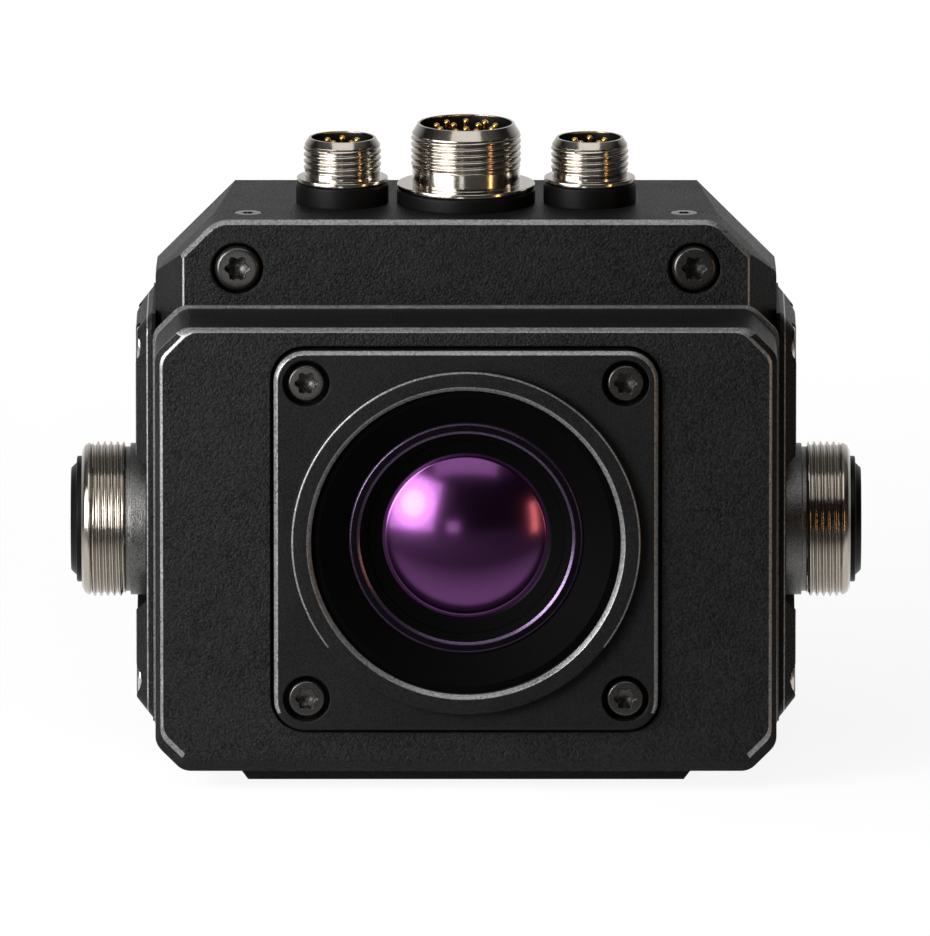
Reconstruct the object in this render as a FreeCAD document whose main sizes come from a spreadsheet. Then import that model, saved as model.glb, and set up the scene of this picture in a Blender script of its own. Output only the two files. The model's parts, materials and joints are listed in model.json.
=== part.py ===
"""Thermal camera with threaded receptacles, built as an assembly of separate pieces.

Frame: millimetres, +Z up, the lens looks along -Y, the origin is the centre of the foot's underside.
"""
import FreeCAD, Part
import math
import os
import re

import Sketcher
from FreeCAD import Placement, Rotation, Vector

# Driving dimensions: name, value and meaning
SIZES = (
    ("foot_thickness", 3.2, "height of the mounting foot"),
    ("foot_half_width", 35.6, "half width of the foot where it meets the housing"),
    ("foot_half_depth", 16, "half depth of the foot"),
    ("foot_chamfer", 2, "how far the foot's ends draw in towards the ground"),
    ("foot_shoulder", 0.8, "how far they have drawn in at half height"),
    ("foot_hole_x", 25, "half spacing of the threaded mounting holes across"),
    ("foot_hole_y", 12.5, "half spacing of the threaded mounting holes in depth"),
    ("foot_hole_radius", 2, "radius of the mounting thread"),
    ("foot_screw_x", 14, "half spacing of the screws that hold the foot"),
    ("foot_screw_y", 6, "distance of those screws from the foot's middle"),
    ("foot_screw_middle", 5, "place of the middle of those screws in depth"),
    ("foot_screw_reach", 5, "length of those screws below their heads"),
    ("housing_half_width", 47.9, "half width of the main housing"),
    ("housing_height", 83.2, "height of the main housing"),
    ("housing_front", -9, "place of the step face, the housing's front"),
    ("housing_depth", 34, "depth of the main housing"),
    ("front_wall", 6, "front wall of the housing"),
    ("wall", 4, "side, top and bottom walls of the housing"),
    ("roof_chamfer", 9.4, "leg of the sloped roof corners"),
    ("roof_round", 4.5, "radius between the roof and its slopes"),
    ("side_round", 2, "radius between the slopes and the sides"),
    ("base_round", 3, "radius of the lower long edges"),
    ("side_bevel_inset", 4.3, "how far the front of the sides is cut back"),
    ("side_bevel_depth", 7.5, "how deep that cut runs"),
    ("edge_break", 0.7, "chamfer on the front edges"),
    ("post_width", 9, "width of the posts for the rear screws"),
    ("post_depth", 12, "depth of the posts for the rear screws"),
    ("cover_inset", 0.1, "how much narrower than the housing the front block is on each side"),
    ("cover_rise", 3.3, "height of the front block above the lens flange"),
    ("cover_depth", 16.5, "depth of the front block"),
    ("cover_corner", 4.2, "leg of the front block's corners"),
    ("cover_corner_round", 3, "radius that softens those corners"),
    ("cover_front_wall", 6.5, "front wall of the front block"),
    ("cover_wall", 4.2, "side walls of the front block"),
    ("cover_edge", 0.9, "chamfer round the block's front face"),
    ("boss_width", 9.5, "width of the corner bosses inside the front block"),
    ("cover_screw_side", 10.3, "distance of the hidden block screws from the block's sides"),
    ("cover_screw_end", 9.2, "distance of those screws from its lower and upper end"),
    ("cover_screw_reach", 13, "length of those screws below their heads"),
    ("cover_screw_deep", 8, "depth of their threads in the block"),
    ("frame_lip", 0.45, "how far the frame behind the front block stands out past it"),
    ("gasket", 0.5, "thickness of the flat gaskets"),
    ("lens_height", 39.7, "height of the lens axis"),
    ("flange_half_width", 29.5, "half width of the lens flange"),
    ("flange_half_height", 29.7, "half height of the lens flange"),
    ("flange_corner", 4.75, "corner radius of the lens flange"),
    ("flange_gap", 0.5, "gap round the lens flange in its recess"),
    ("flange_seat", 3.2, "depth of the recess for the lens flange"),
    ("flange_proud", 1.5, "how far the flange stands out of the block"),
    ("flange_edge", 0.5, "chamfer round the flange"),
    ("flange_screw_margin", 5, "distance of the flange screws from the flange's edges"),
    ("flange_screw_bore", 3.6, "radius of the counterbores for those screws"),
    ("flange_screw_reach", 4.2, "length of those screws below their heads"),
    ("ring_radius", 26.85, "outer radius of the ring round the lens"),
    ("ring_front", 3.2, "how far the ring stands in front of the block"),
    ("ring_edge", 0.3, "chamfer on the ring"),
    ("ring_inner_edge", 0.7, "inner chamfer of the ring"),
    ("barrel_radius", 23.7, "radius of the barrel's front"),
    ("barrel_tube", 20, "radius of the barrel behind the flange"),
    ("barrel_collar", 1.4, "how far the barrel's collar stands out behind the flange"),
    ("barrel_collar_width", 2, "width of that collar"),
    ("barrel_gap", 0.5, "gap round that collar in the front block"),
    ("barrel_passage", 4, "gap round the barrel in the housing's front wall"),
    ("barrel_rim", 1.1, "width of the barrel's front rim"),
    ("barrel_front", 1.7, "place of the barrel's rim, in front of the block"),
    ("barrel_back", 26, "place of the barrel's rear end, behind the block's front"),
    ("barrel_step", 1.5, "width of the shoulder that the rear lens rests on"),
    ("barrel_taper", 2.5, "length of the taper in front of that shoulder"),
    ("barrel_land", 2.2, "width of the shoulder that the front lens rests on"),
    ("cone_depth", 2.6, "depth of the dark cone behind the rim"),
    ("bezel_radius", 18.1, "radius of the lens retaining ring"),
    ("bezel_flat", 1.8, "width of the retaining ring's flat front"),
    ("bezel_thickness", 2.3, "thickness of the retaining ring"),
    ("lens_clear_radius", 12.6, "radius of the domed part of the front lens"),
    ("lens_dome", 22, "spherical radius of the front lens"),
    ("lens_rim", 3, "thickness of the front lens at its rim"),
    ("rear_lens_radius", 12, "radius of the rear lens"),
    ("rear_lens_rim", 2.6, "thickness of the rear lens at its rim"),
    ("rear_lens_dome", 24, "spherical radius of the rear lens"),
    ("rear_lens_depth", 9, "depth of the rear lens's seat in the barrel"),
    ("rear_lens_margin", 2, "width of the rear lens's flat rim"),
    ("rear_ring_height", 2.4, "height of the ring that holds the rear lens"),
    ("bezel_lip", 0.4, "thickness of the retaining ring at its inner edge"),
    ("bezel_clear", 0.3, "gap between that edge and the lens's dome"),
    ("slip", 0.05, "radial clearance of pieces that slide together"),
    ("screw_gap", 0.15, "radial clearance round a screw's shank"),
    ("head_gap", 0.5, "radial clearance round a screw's head"),
    ("head_sink", 0.15, "how deep a screw's head sits below its face"),
    ("thread_gap", 0.1, "radial clearance round a receptacle's tail in the housing"),
    ("m_three", 1.5, "radius of a three millimetre thread"),
    ("m_three_head", 2.75, "head radius of a three millimetre screw"),
    ("m_three_head_height", 3, "head height of a three millimetre screw"),
    ("m_three_low_height", 1.5, "head height of a low three millimetre screw"),
    ("m_three_socket", 1.25, "half width of the socket of that screw"),
    ("m_four", 2, "radius of a four millimetre thread"),
    ("m_four_head", 3.5, "head radius of a four millimetre screw"),
    ("m_four_head_height", 4, "head height of a four millimetre screw"),
    ("m_four_socket", 1.5, "half width of the socket of that screw"),
    ("upper_screw_x", 35.2, "half spacing of the two screws in the step face"),
    ("upper_screw_drop", 7.6, "how far those screws sit below the top"),
    ("upper_screw_reach", 5, "length of those screws below their heads"),
    ("rear_inset", 3, "how far the rear cover stays inside the outline"),
    ("rear_thickness", 3, "thickness of the rear cover"),
    ("rear_screw_margin", 8.9, "distance of the rear screws from the housing's sides"),
    ("rear_screw_drop", 15.4, "how far the upper rear screws sit below the top"),
    ("rear_screw_reach", 8, "length of the rear screws and of their threads"),
    ("rear_screw_low", 11, "height of the lower rear screws"),
    ("side_low", 6.8, "lower end of the side covers"),
    ("side_high", 71, "upper end of the side covers"),
    ("side_half_depth", 12.5, "half depth of the side covers"),
    ("side_thickness", 2.6, "thickness of the side covers"),
    ("side_edge", 1.8, "bevel round the side covers"),
    ("side_corner", 0.9, "corner radius of the side covers past their bevel"),
    ("side_pocket_radius", 16.2, "radius of the round pocket at the side receptacle"),
    ("side_pocket_depth", 1.6, "depth of that pocket"),
    ("side_screw_margin", 4.2, "distance of the side screws from the cover's edges in depth"),
    ("side_screw_foot", 6.2, "distance of the lower side screws from the cover's lower end"),
    ("side_screw_head", 5.6, "distance of the upper side screws from its upper end"),
    ("side_screw_reach", 5, "length of the side screws below their heads"),
    ("side_bore_deep", 1.7, "depth of the side screws' counterbores"),
    ("side_axis_y", 8, "place of the side receptacles in depth"),
    ("side_axis_z", 36.2, "height of the side receptacles"),
    ("side_neck_radius", 11.75, "smooth neck of a side receptacle"),
    ("side_neck_length", 2.55, "length of that neck"),
    ("side_groove_radius", 11.2, "groove behind the side thread"),
    ("side_groove_length", 0.65, "length of that groove"),
    ("side_thread_radius", 12, "radius of the side thread"),
    ("side_thread_length", 5.45, "length of the side thread"),
    ("side_nose_length", 1.4, "length of the rounded nose in front of the side thread"),
    ("side_bore_radius", 9.8, "radius of the mouth of a side receptacle"),
    ("side_mouth_depth", 5, "depth of that mouth"),
    ("side_tail_radius", 9.6, "radius of a side receptacle behind the cover"),
    ("side_tail_length", 11, "length of that tail behind the pocket floor"),
    ("side_core_radius", 8.3, "radius of the insert inside the tail"),
    ("side_insert_proud", 1.7, "how far the insert stands out of the shell"),
    ("side_nut_radius", 10.8, "radius of the side ring nut"),
    ("side_nut_height", 3, "height of the side ring nut"),
    ("side_contact_circle", 5.2, "pitch radius of the side contacts"),
    ("side_contact_radius", 0.9, "radius of a side contact"),
    ("side_contact_depth", 4, "depth of the side contacts below the insert's face"),
    ("side_contact_gap", 0.02, "radial clearance round a side contact"),
    ("side_contact_sink", 0.4, "how deep the side contacts sit below the insert's face"),
    ("side_nose_mid", 0.6, "how much the nose has drawn in at seven tenths of its length"),
    ("side_nose_start", 0.3, "how much it has drawn in at three tenths"),
    ("side_nose_tip", 1.4, "how much it has drawn in at its tip"),
    ("side_insert_flare", 0.8, "height of the insert's wide part above the shell's mouth"),
    ("side_insert_round", 0.4, "how far the insert's face is rounded"),
    ("top_axis_y", 6.8, "place of the top receptacles in depth"),
    ("top_spacing", 19.1, "distance of the small receptacles from the middle"),
    ("small_thread_radius", 6, "radius of the small top thread"),
    ("small_rim_radius", 5.15, "radius of the small receptacle's rim"),
    ("small_mouth_radius", 4.8, "radius of the small receptacle's mouth"),
    ("small_neck_radius", 5.8, "radius of the neck below the small thread"),
    ("small_flange_radius", 7.05, "radius of the small receptacle's flange"),
    ("small_seal_radius", 7.15, "radius of the small sealing ring"),
    ("small_seal_height", 3.3, "height of the small sealing ring"),
    ("small_tail_radius", 5.9, "radius of the small receptacle inside the roof"),
    ("small_flange_height", 0.7, "height of the small receptacle's flange"),
    ("small_neck_height", 0.9, "height of the neck below the small thread"),
    ("small_thread_height", 4.1, "height of the small thread"),
    ("small_rim_height", 1.15, "height of the rim above the small thread"),
    ("small_mouth_depth", 5.4, "depth of the small receptacle's mouth"),
    ("small_nut_radius", 7.9, "radius of the small ring nut"),
    ("small_pin_circle", 2.4, "pitch radius of the small receptacle's pins"),
    ("centre_thread_radius", 8.5, "radius of the middle top thread"),
    ("centre_rim_radius", 7.45, "radius of the middle receptacle's rim"),
    ("centre_mouth_radius", 7.1, "radius of the middle receptacle's mouth"),
    ("centre_neck_radius", 8.3, "radius of the neck below the middle thread"),
    ("centre_flange_radius", 10.65, "radius of the middle receptacle's flange"),
    ("centre_seal_radius", 10.7, "radius of the middle sealing ring"),
    ("centre_seal_height", 2.3, "height of the middle sealing ring"),
    ("centre_tail_radius", 7.9, "radius of the middle receptacle inside the roof"),
    ("seal_edge", 0.4, "chamfer on the sealing rings"),
    ("centre_flange_height", 0.7, "height of the middle receptacle's flange"),
    ("centre_neck_height", 2.5, "height of the neck below the middle thread"),
    ("centre_thread_height", 5.3, "height of the middle thread"),
    ("centre_rim_height", 1.6, "height of the rim above the middle thread"),
    ("centre_mouth_depth", 6.4, "depth of the middle receptacle's mouth"),
    ("centre_nut_radius", 9.2, "radius of the middle ring nut"),
    ("centre_pin_circle", 4.6, "pitch radius of the middle receptacle's outer pins"),
    ("centre_pin_inner", 2.2, "pitch radius of the middle receptacle's inner pins"),
    ("tail_length", 12, "how far the top receptacles reach into the housing"),
    ("tail_wall", 0.6, "step between a receptacle's mouth and its insert"),
    ("nut_height", 2.4, "height of the top ring nuts"),
    ("pin_radius", 0.5, "radius of a contact pin"),
    ("pin_sink", 0.2, "how far the pins stay below the rim"),
    ("plug_radius", 2.2, "radius of the blind plugs in the top"),
    ("plug_depth", 2.5, "depth of the blind plugs"),
    ("plug_x", 33.6, "half spacing of the blind plugs"),
    ("plug_setback", 6.5, "distance of the blind plugs behind the step face"),
    ("chassis_half_width", 32, "half width of the chassis plate"),
    ("chassis_low", 9.5, "lower end of the chassis plate"),
    ("chassis_high", 70, "upper end of the chassis plate's middle"),
    ("chassis_thickness", 2, "thickness of the chassis plate"),
    ("ear_inside", 5.7, "reach of the chassis plate's ears inwards from the upper screws"),
    ("ear_outside", 3.7, "their reach outwards"),
    ("ear_below", 9.8, "their reach below the screws"),
    ("ear_above", 2.8, "their reach above the screws"),
    ("ear_corner", 2.7, "corner cut of the ears"),
    ("chassis_gap", 0.2, "gap round the barrel in the chassis plate"),
    ("aperture_radius", 6.5, "radius of the opening that the shutter closes"),
    ("shutter_plate", 1.5, "thickness of the shutter frame"),
    ("shutter_left", 12, "shutter frame's reach on the left of the lens axis"),
    ("shutter_right", 25, "shutter frame's reach on the right"),
    ("shutter_rise", 13, "shutter frame's reach above and below the lens axis"),
    ("shutter_corner", 3, "corner radius of the shutter frame"),
    ("pivot_x", 18, "place of the shutter pivot beside the lens axis"),
    ("pivot_rise", 6, "height of the shutter pivot above the lens axis"),
    ("pivot_radius", 1, "radius of the shutter pivot"),
    ("pivot_length", 8.6, "length of the shutter pivot"),
    ("pivot_sink", 0.2, "how deep the pivot starts behind the frame's front"),
    ("pivot_clear", 0.3, "free depth behind the pivot's end"),
    ("pivot_fit", 0.01, "radial clearance of the pivot in the blade's hub"),
    ("hub_radius", 2.6, "radius of the shutter blade's hub"),
    ("arm_half_width", 2, "half width of the shutter blade's arm"),
    ("blade_radius", 7.6, "radius of the shutter blade's disc"),
    ("blade_thickness", 0.5, "thickness of the shutter blade"),
    ("blade_gap", 0.35, "gap between the blade and its neighbours"),
    ("stop_radius", 0.9, "radius of the shutter's stop pegs"),
    ("stop_reach", 10, "distance of the stop pegs from the pivot"),
    ("solenoid_radius", 5, "radius of the rotary solenoid"),
    ("solenoid_slot", 2.7, "how far the solenoid stays behind the shutter frame"),
    ("board_gap", 17.9, "distance of the circuit boards from the housing's sides"),
    ("board_low", 10, "lower end of the circuit boards"),
    ("board_high", 68, "upper end of the circuit boards"),
    ("board_thickness", 1.4, "thickness of the circuit boards"),
    ("board_first", 11, "place of the sensor board"),
    ("board_pitch", 4.4, "distance from one board to the next"),
    ("board_screw_margin", 3.2, "distance of the board screws from the edges"),
    ("spacer_radius", 2.3, "half width of the board spacers"),
    ("board_screw", 1.25, "radius of the board screws"),
    ("board_screw_head", 2.2, "head radius of the board screws"),
    ("board_screw_head_height", 1.4, "head height of the board screws"),
    ("board_screw_deep", 0.5, "how far those screws stop short of the chassis plate"),
    ("sensor_half_width", 10, "half width of the sensor package"),
    ("sensor_height", 2.6, "height of the sensor package"),
    ("window_half_width", 7.5, "half width of the sensor window"),
    ("window_thickness", 0.8, "thickness of the sensor window"),
    ("window_sink", 0.8, "how deep the window sits below the package's face"),
    ("chip_half_width", 8, "half width of the main chip"),
    ("chip_height", 1.2, "height of the main chip"),
)

ROLES = {"XY": "XY_Plane", "XZ": "XZ_Plane", "YZ": "YZ_Plane"}
FACING = {
    "up": Rotation(),
    "front": Rotation(Vector(1, 0, 0), 90),
    "rear": Rotation(Vector(1, 0, 0), -90),
    "right": Rotation(Vector(0, 1, 0), 90),
    "left": Rotation(Vector(0, 1, 0), -90),
    "down": Rotation(Vector(1, 0, 0), 180),
}

doc = FreeCAD.newDocument("thermal_camera")
sheet = doc.addObject("Spreadsheet::Sheet", "sizes")
for row, (alias, value, meaning) in enumerate(SIZES, 1):
    sheet.set("A%d" % row, meaning)
    sheet.set("B%d" % row, str(value))
    sheet.setAlias("B%d" % row, alias)
doc.recompute()
size = {alias: value for alias, value, meaning in SIZES}


def cell(text):
    """A formula in the names of the sizes, as an expression on the sheet."""
    def bind(word):
        return "sizes." + word.group() if word.group() in size else word.group()
    return re.sub(r"[a-z][a-z_]*", bind, str(text))


def place(thing, x="0", y="0", z="0", facing="up"):
    """Stand a sub-part at a place given by formulas, its own Z turned to the side that it faces."""
    thing.Placement = Placement(Vector(0, 0, 0), FACING[facing])
    for axis, formula in (("x", x), ("y", y), ("z", z)):
        thing.setExpression("Placement.Base." + axis, cell(formula))


def new_body(label, x="0", y="0", z="0", facing="up"):
    body = doc.addObject("PartDesign::Body", label)
    body.Label = label
    body.AllowCompound = True
    place(body, x, y, z, facing)
    return body


def base_plane(body, plane):
    return next(f for f in body.Origin.OriginFeatures if f.Role == ROLES[plane])


def new_sketch(body, plane, offset):
    sketch = body.newObject("Sketcher::SketchObject", "outline")
    sketch.AttachmentSupport = [(base_plane(body, plane), "")]
    sketch.MapMode = "FlatFace"
    sketch.setExpression("AttachmentOffset.Base.z", cell(offset))
    return sketch


def bind(sketch, kind, name, where, formula):
    """One named dimension of a sketch, driven by a formula."""
    index = sketch.addConstraint(Sketcher.Constraint(kind, *where, 1.0))
    sketch.renameConstraint(index, name)
    sketch.setExpression("Constraints." + name, cell(formula))


def add_outline(sketch, points):
    """A closed outline whose corners stand at the given pairs of formulas."""
    first = sketch.GeometryCount
    count = len(points)
    ring = [2 * math.pi * i / count for i in range(count)]
    start = [Vector(10 * math.cos(a), 10 * math.sin(a), 0) for a in ring]
    for i in range(count):
        sketch.addGeometry(Part.LineSegment(start[i], start[(i + 1) % count]), False)
    for i in range(count):
        follower = first + (i + 1) % count
        sketch.addConstraint(Sketcher.Constraint("Coincident", first + i, 2, follower, 1))
    for i, (across, up) in enumerate(points):
        bind(sketch, "DistanceX", "across%d" % (first + i), (-1, 1, first + i, 1), across)
        bind(sketch, "DistanceY", "up%d" % (first + i), (-1, 1, first + i, 1), up)


def add_circles(sketch, centres, radius):
    for across, up in centres:
        index = sketch.addGeometry(Part.Circle(Vector(0, 0, 0), Vector(0, 0, 1), 1), False)
        bind(sketch, "DistanceX", "across%d" % index, (-1, 1, index, 3), across)
        bind(sketch, "DistanceY", "up%d" % index, (-1, 1, index, 3), up)
        bind(sketch, "Radius", "radius%d" % index, (index,), radius)


def add_hexagons(sketch, centres, half_width):
    """Hexagons of one width across their flats."""
    corners = [(math.cos(i * math.pi / 3) / math.cos(math.pi / 6),
                math.sin(i * math.pi / 3) / math.cos(math.pi / 6)) for i in range(6)]
    for across, up in centres:
        add_outline(sketch, [("%s + (%s) * %.6f" % (across, half_width, a),
                              "%s + (%s) * %.6f" % (up, half_width, b)) for a, b in corners])


def extrude(body, kind, plane, low, high, fill):
    """Pad or pocket between two places along the plane's axis; fill draws the sketch."""
    offset = "-(%s)" % high if plane == "XZ" else low
    sketch = new_sketch(body, plane, offset)
    fill(sketch)
    doc.recompute()
    feature = body.newObject("PartDesign::" + kind, kind.lower())
    feature.Profile = sketch
    feature.setExpression("Length", cell("(%s) - (%s)" % (high, low)))
    feature.Reversed = kind == "Pocket"
    before = body.Shape.Volume if kind == "Pocket" else 0
    doc.recompute()
    if kind == "Pocket" and not 0 < feature.Shape.Volume < before:
        raise RuntimeError("a pocket cuts nothing in " + body.Label)
    return feature


def slab(body, plane, points, low, high):
    return extrude(body, "Pad", plane, low, high, lambda sketch: add_outline(sketch, points))


def cut(body, plane, points, low, high):
    return extrude(body, "Pocket", plane, low, high, lambda sketch: add_outline(sketch, points))


def rod(body, plane, centres, radius, low, high):
    return extrude(body, "Pad", plane, low, high, lambda sketch: add_circles(sketch, centres, radius))


def bore(body, plane, centres, radius, low, high):
    return extrude(body, "Pocket", plane, low, high,
                   lambda sketch: add_circles(sketch, centres, radius))


def tube(body, plane, outer, inner, low, high, centre=("0", "0")):
    def fill(sketch):
        add_circles(sketch, [centre], outer)
        add_circles(sketch, [centre], inner)
    return extrude(body, "Pad", plane, low, high, fill)


def box(left, low, right, high):
    """Corners of an upright rectangle."""
    return [(left, low), (right, low), (right, high), (left, high)]


def mirror_box(half, low, high):
    return box("-(%s)" % half, low, half, high)


def four(across, up):
    """The four places at plus and minus two distances."""
    return [(a + "(%s)" % across, b + "(%s)" % up) for a in ("", "-") for b in ("", "-")]


def both(across, up):
    return [("-(%s)" % across, up), (across, up)]


def turn(body, points):
    """Turn an outline of radius and height pairs once about the body's own Z."""
    sketch = new_sketch(body, "XZ", "0")
    add_outline(sketch, points)
    doc.recompute()
    feature = body.newObject("PartDesign::Revolution", "turned")
    feature.Profile = sketch
    feature.ReferenceAxis = (sketch, ["V_Axis"])
    feature.Angle = 360
    doc.recompute()
    return feature


def edges_where(feature, test):
    names = []
    for i, edge in enumerate(feature.Shape.Edges, 1):
        if test(edge):
            names.append("Edge%d" % i)
    if not names:
        raise RuntimeError("no edge found on " + feature.Label)
    return names


def soften(body, kind, amount, test):
    """Fillet or chamfer the edges of the last feature that pass the test."""
    base = body.Tip
    feature = body.newObject("PartDesign::" + kind, kind.lower())
    feature.Base = (base, edges_where(base, test))
    feature.setExpression("Radius" if kind == "Fillet" else "Size", cell(amount))
    doc.recompute()
    return feature


def along(edge, axis):
    """Whether an edge is straight and runs along one axis, 0, 1 or 2."""
    if edge.Curve.TypeId != "Part::GeomLine":
        return False
    step = edge.Vertexes[-1].Point - edge.Vertexes[0].Point
    return abs(step[axis]) > 0.999 * step.Length


def lies_at(edge, axis, value):
    """Whether a whole edge lies in the plane where one coordinate has the given value."""
    limits = edge.BoundBox
    low = (limits.XMin, limits.YMin, limits.ZMin)[axis]
    high = (limits.XMax, limits.YMax, limits.ZMax)[axis]
    return abs(low - value) < 0.01 and abs(high - value) < 0.01


# Places that several pieces share, as formulas
TOP = "(foot_thickness + housing_height)"
REAR = "(housing_front + housing_depth)"
INNER_FRONT = "(housing_front + front_wall)"
COVER_REAR = "(housing_front - gasket)"
COVER_FRONT = "(housing_front - gasket - cover_depth)"
SIDE_SEAT = "(housing_half_width + gasket)"
POCKET_FLOOR = "(housing_half_width + gasket + side_thickness - side_pocket_depth)"
INNER_TOP = "(foot_thickness + housing_height - wall)"
SLOPE_INSIDE = "(roof_chamfer - 0.5858 * wall)"
COVER_HALF = "(housing_half_width - cover_inset)"
COVER_TOP = "(lens_height + flange_half_height + cover_rise)"
BARREL_END = "(housing_front - gasket - cover_depth + barrel_back)"
REAR_SCREW_X = "(housing_half_width - rear_screw_margin)"
REAR_SCREW_HIGH = "(foot_thickness + housing_height - rear_screw_drop)"
COVER_SCREW_X = "(housing_half_width - cover_inset - cover_screw_side)"
COVER_SCREW_LOW = "(foot_thickness + cover_screw_end)"
COVER_SCREW_HIGH = "(lens_height + flange_half_height + cover_rise - cover_screw_end)"
UPPER_SCREW_Z = "(foot_thickness + housing_height - upper_screw_drop)"
BOARD_HALF = "(housing_half_width - board_gap)"


def cover_screws():
    """Places of the hidden screws between the housing and the front block."""
    return both(COVER_SCREW_X, COVER_SCREW_LOW) + both(COVER_SCREW_X, COVER_SCREW_HIGH)


def flange_screws():
    return four("flange_half_width - flange_screw_margin", "flange_half_height - flange_screw_margin")


def foot_screws():
    return [(a, b + " + foot_screw_middle") for a, b in four("foot_screw_x", "foot_screw_y")]


def rear_screws():
    return both(REAR_SCREW_X, "rear_screw_low") + both(REAR_SCREW_X, REAR_SCREW_HIGH)


def side_screws():
    return [("side_axis_y " + y, z) for y in ("- side_half_depth + side_screw_margin",
                                              "+ side_half_depth - side_screw_margin")
            for z in ("side_low + side_screw_foot", "side_high - side_screw_head")]


def roof_outline(half, low, high, slope):
    """A housing section: upright sides, sloped upper corners and a flat roof."""
    return [("-(%s)" % half, low), (half, low), (half, "%s - %s" % (high, slope)),
            ("%s - %s" % (half, slope), high), ("-(%s - %s)" % (half, slope), high),
            ("-(%s)" % half, "%s - %s" % (high, slope))]


def make_housing():
    body = new_body("main_housing")
    slab(body, "XZ", roof_outline("housing_half_width", "foot_thickness", TOP, "roof_chamfer"),
         "housing_front", REAR)
    half = size["housing_half_width"]
    low = size["foot_thickness"]
    high = low + size["housing_height"]
    slope = size["roof_chamfer"]
    front = size["housing_front"]
    soften(body, "Fillet", "roof_round", lambda e: along(e, 1) and lies_at(e, 2, high))
    soften(body, "Fillet", "side_round", lambda e: along(e, 1) and lies_at(e, 2, high - slope))
    soften(body, "Fillet", "base_round", lambda e: along(e, 1) and lies_at(e, 2, low))
    for sign in ("", "-"):
        cut(body, "XY", [(sign + "(housing_half_width - side_bevel_inset)", "housing_front - 1"),
                         (sign + "(housing_half_width + 1)", "housing_front - 1"),
                         (sign + "(housing_half_width + 1)",
                          "housing_front + side_bevel_depth * (1 + 1 / side_bevel_inset)"),
                         (sign + "(housing_half_width - side_bevel_inset)", "housing_front")],
            "foot_thickness - 1", TOP + " + 1")
    soften(body, "Chamfer", "edge_break",
           lambda e: lies_at(e, 1, front) and not along(e, 2) and e.CenterOfMass.z > low + 1)
    cut(body, "XZ", roof_outline("(housing_half_width - wall)", "foot_thickness + wall", INNER_TOP,
                                 SLOPE_INSIDE), INNER_FRONT, REAR)
    for sign in ("", "-"):
        for middle in ("rear_screw_low", REAR_SCREW_HIGH):
            slab(body, "XZ", box("%s(%s - post_width / 2)" % (sign, REAR_SCREW_X), middle + " - post_width / 2",
                                 sign + "(housing_half_width - wall / 2)", middle + " + post_width / 2"),
                 REAR + " - post_depth", REAR)
    bore(body, "XZ", [("0", "lens_height")], "barrel_tube + barrel_passage", "housing_front - 1", INNER_FRONT)
    bore(body, "XZ", both("upper_screw_x", UPPER_SCREW_Z), "m_four_head + head_gap",
         "housing_front - 1", "housing_front + m_four_head_height + head_sink")
    bore(body, "XZ", both("upper_screw_x", UPPER_SCREW_Z) + cover_screws(), "m_four + screw_gap",
         "housing_front - 1", INNER_FRONT + " + 1")
    bore(body, "XY", both("top_spacing", "top_axis_y"), "small_tail_radius + thread_gap", INNER_TOP + " - 1",
         TOP + " + 1")
    bore(body, "XY", [("0", "top_axis_y")], "centre_tail_radius + thread_gap", INNER_TOP + " - 1", TOP + " + 1")
    bore(body, "XY", both("plug_x", "housing_front + plug_setback"), "plug_radius + slip",
         TOP + " - plug_depth", TOP + " + 1")
    bore(body, "YZ", [("side_axis_y", "side_axis_z")], "side_tail_radius + thread_gap",
         "-(housing_half_width + 1)", "housing_half_width + 1")
    bore(body, "YZ", side_screws(), "m_three + slip", "-(housing_half_width + 1)", "-(housing_half_width - wall)")
    bore(body, "YZ", side_screws(), "m_three + slip", "housing_half_width - wall", "housing_half_width + 1")
    bore(body, "XZ", rear_screws(), "m_three + slip", REAR + " - rear_screw_reach", REAR)
    bore(body, "XY", foot_screws(), "m_three + slip", "foot_thickness", "foot_thickness + wall + 1")
    return body


def cover_outline(lip):
    """The front block's outline with cut corners, drawn larger by a lip at its sides and top."""
    half = "(%s + %s)" % (COVER_HALF, lip)
    high = "(%s + %s)" % (COVER_TOP, lip)
    right = [("%s - cover_corner" % half, "foot_thickness"), (half, "foot_thickness + cover_corner"),
             (half, high + " - cover_corner"), ("%s - cover_corner" % half, high)]
    return right + [("-(%s)" % a, b) for a, b in reversed(right)]


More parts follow.
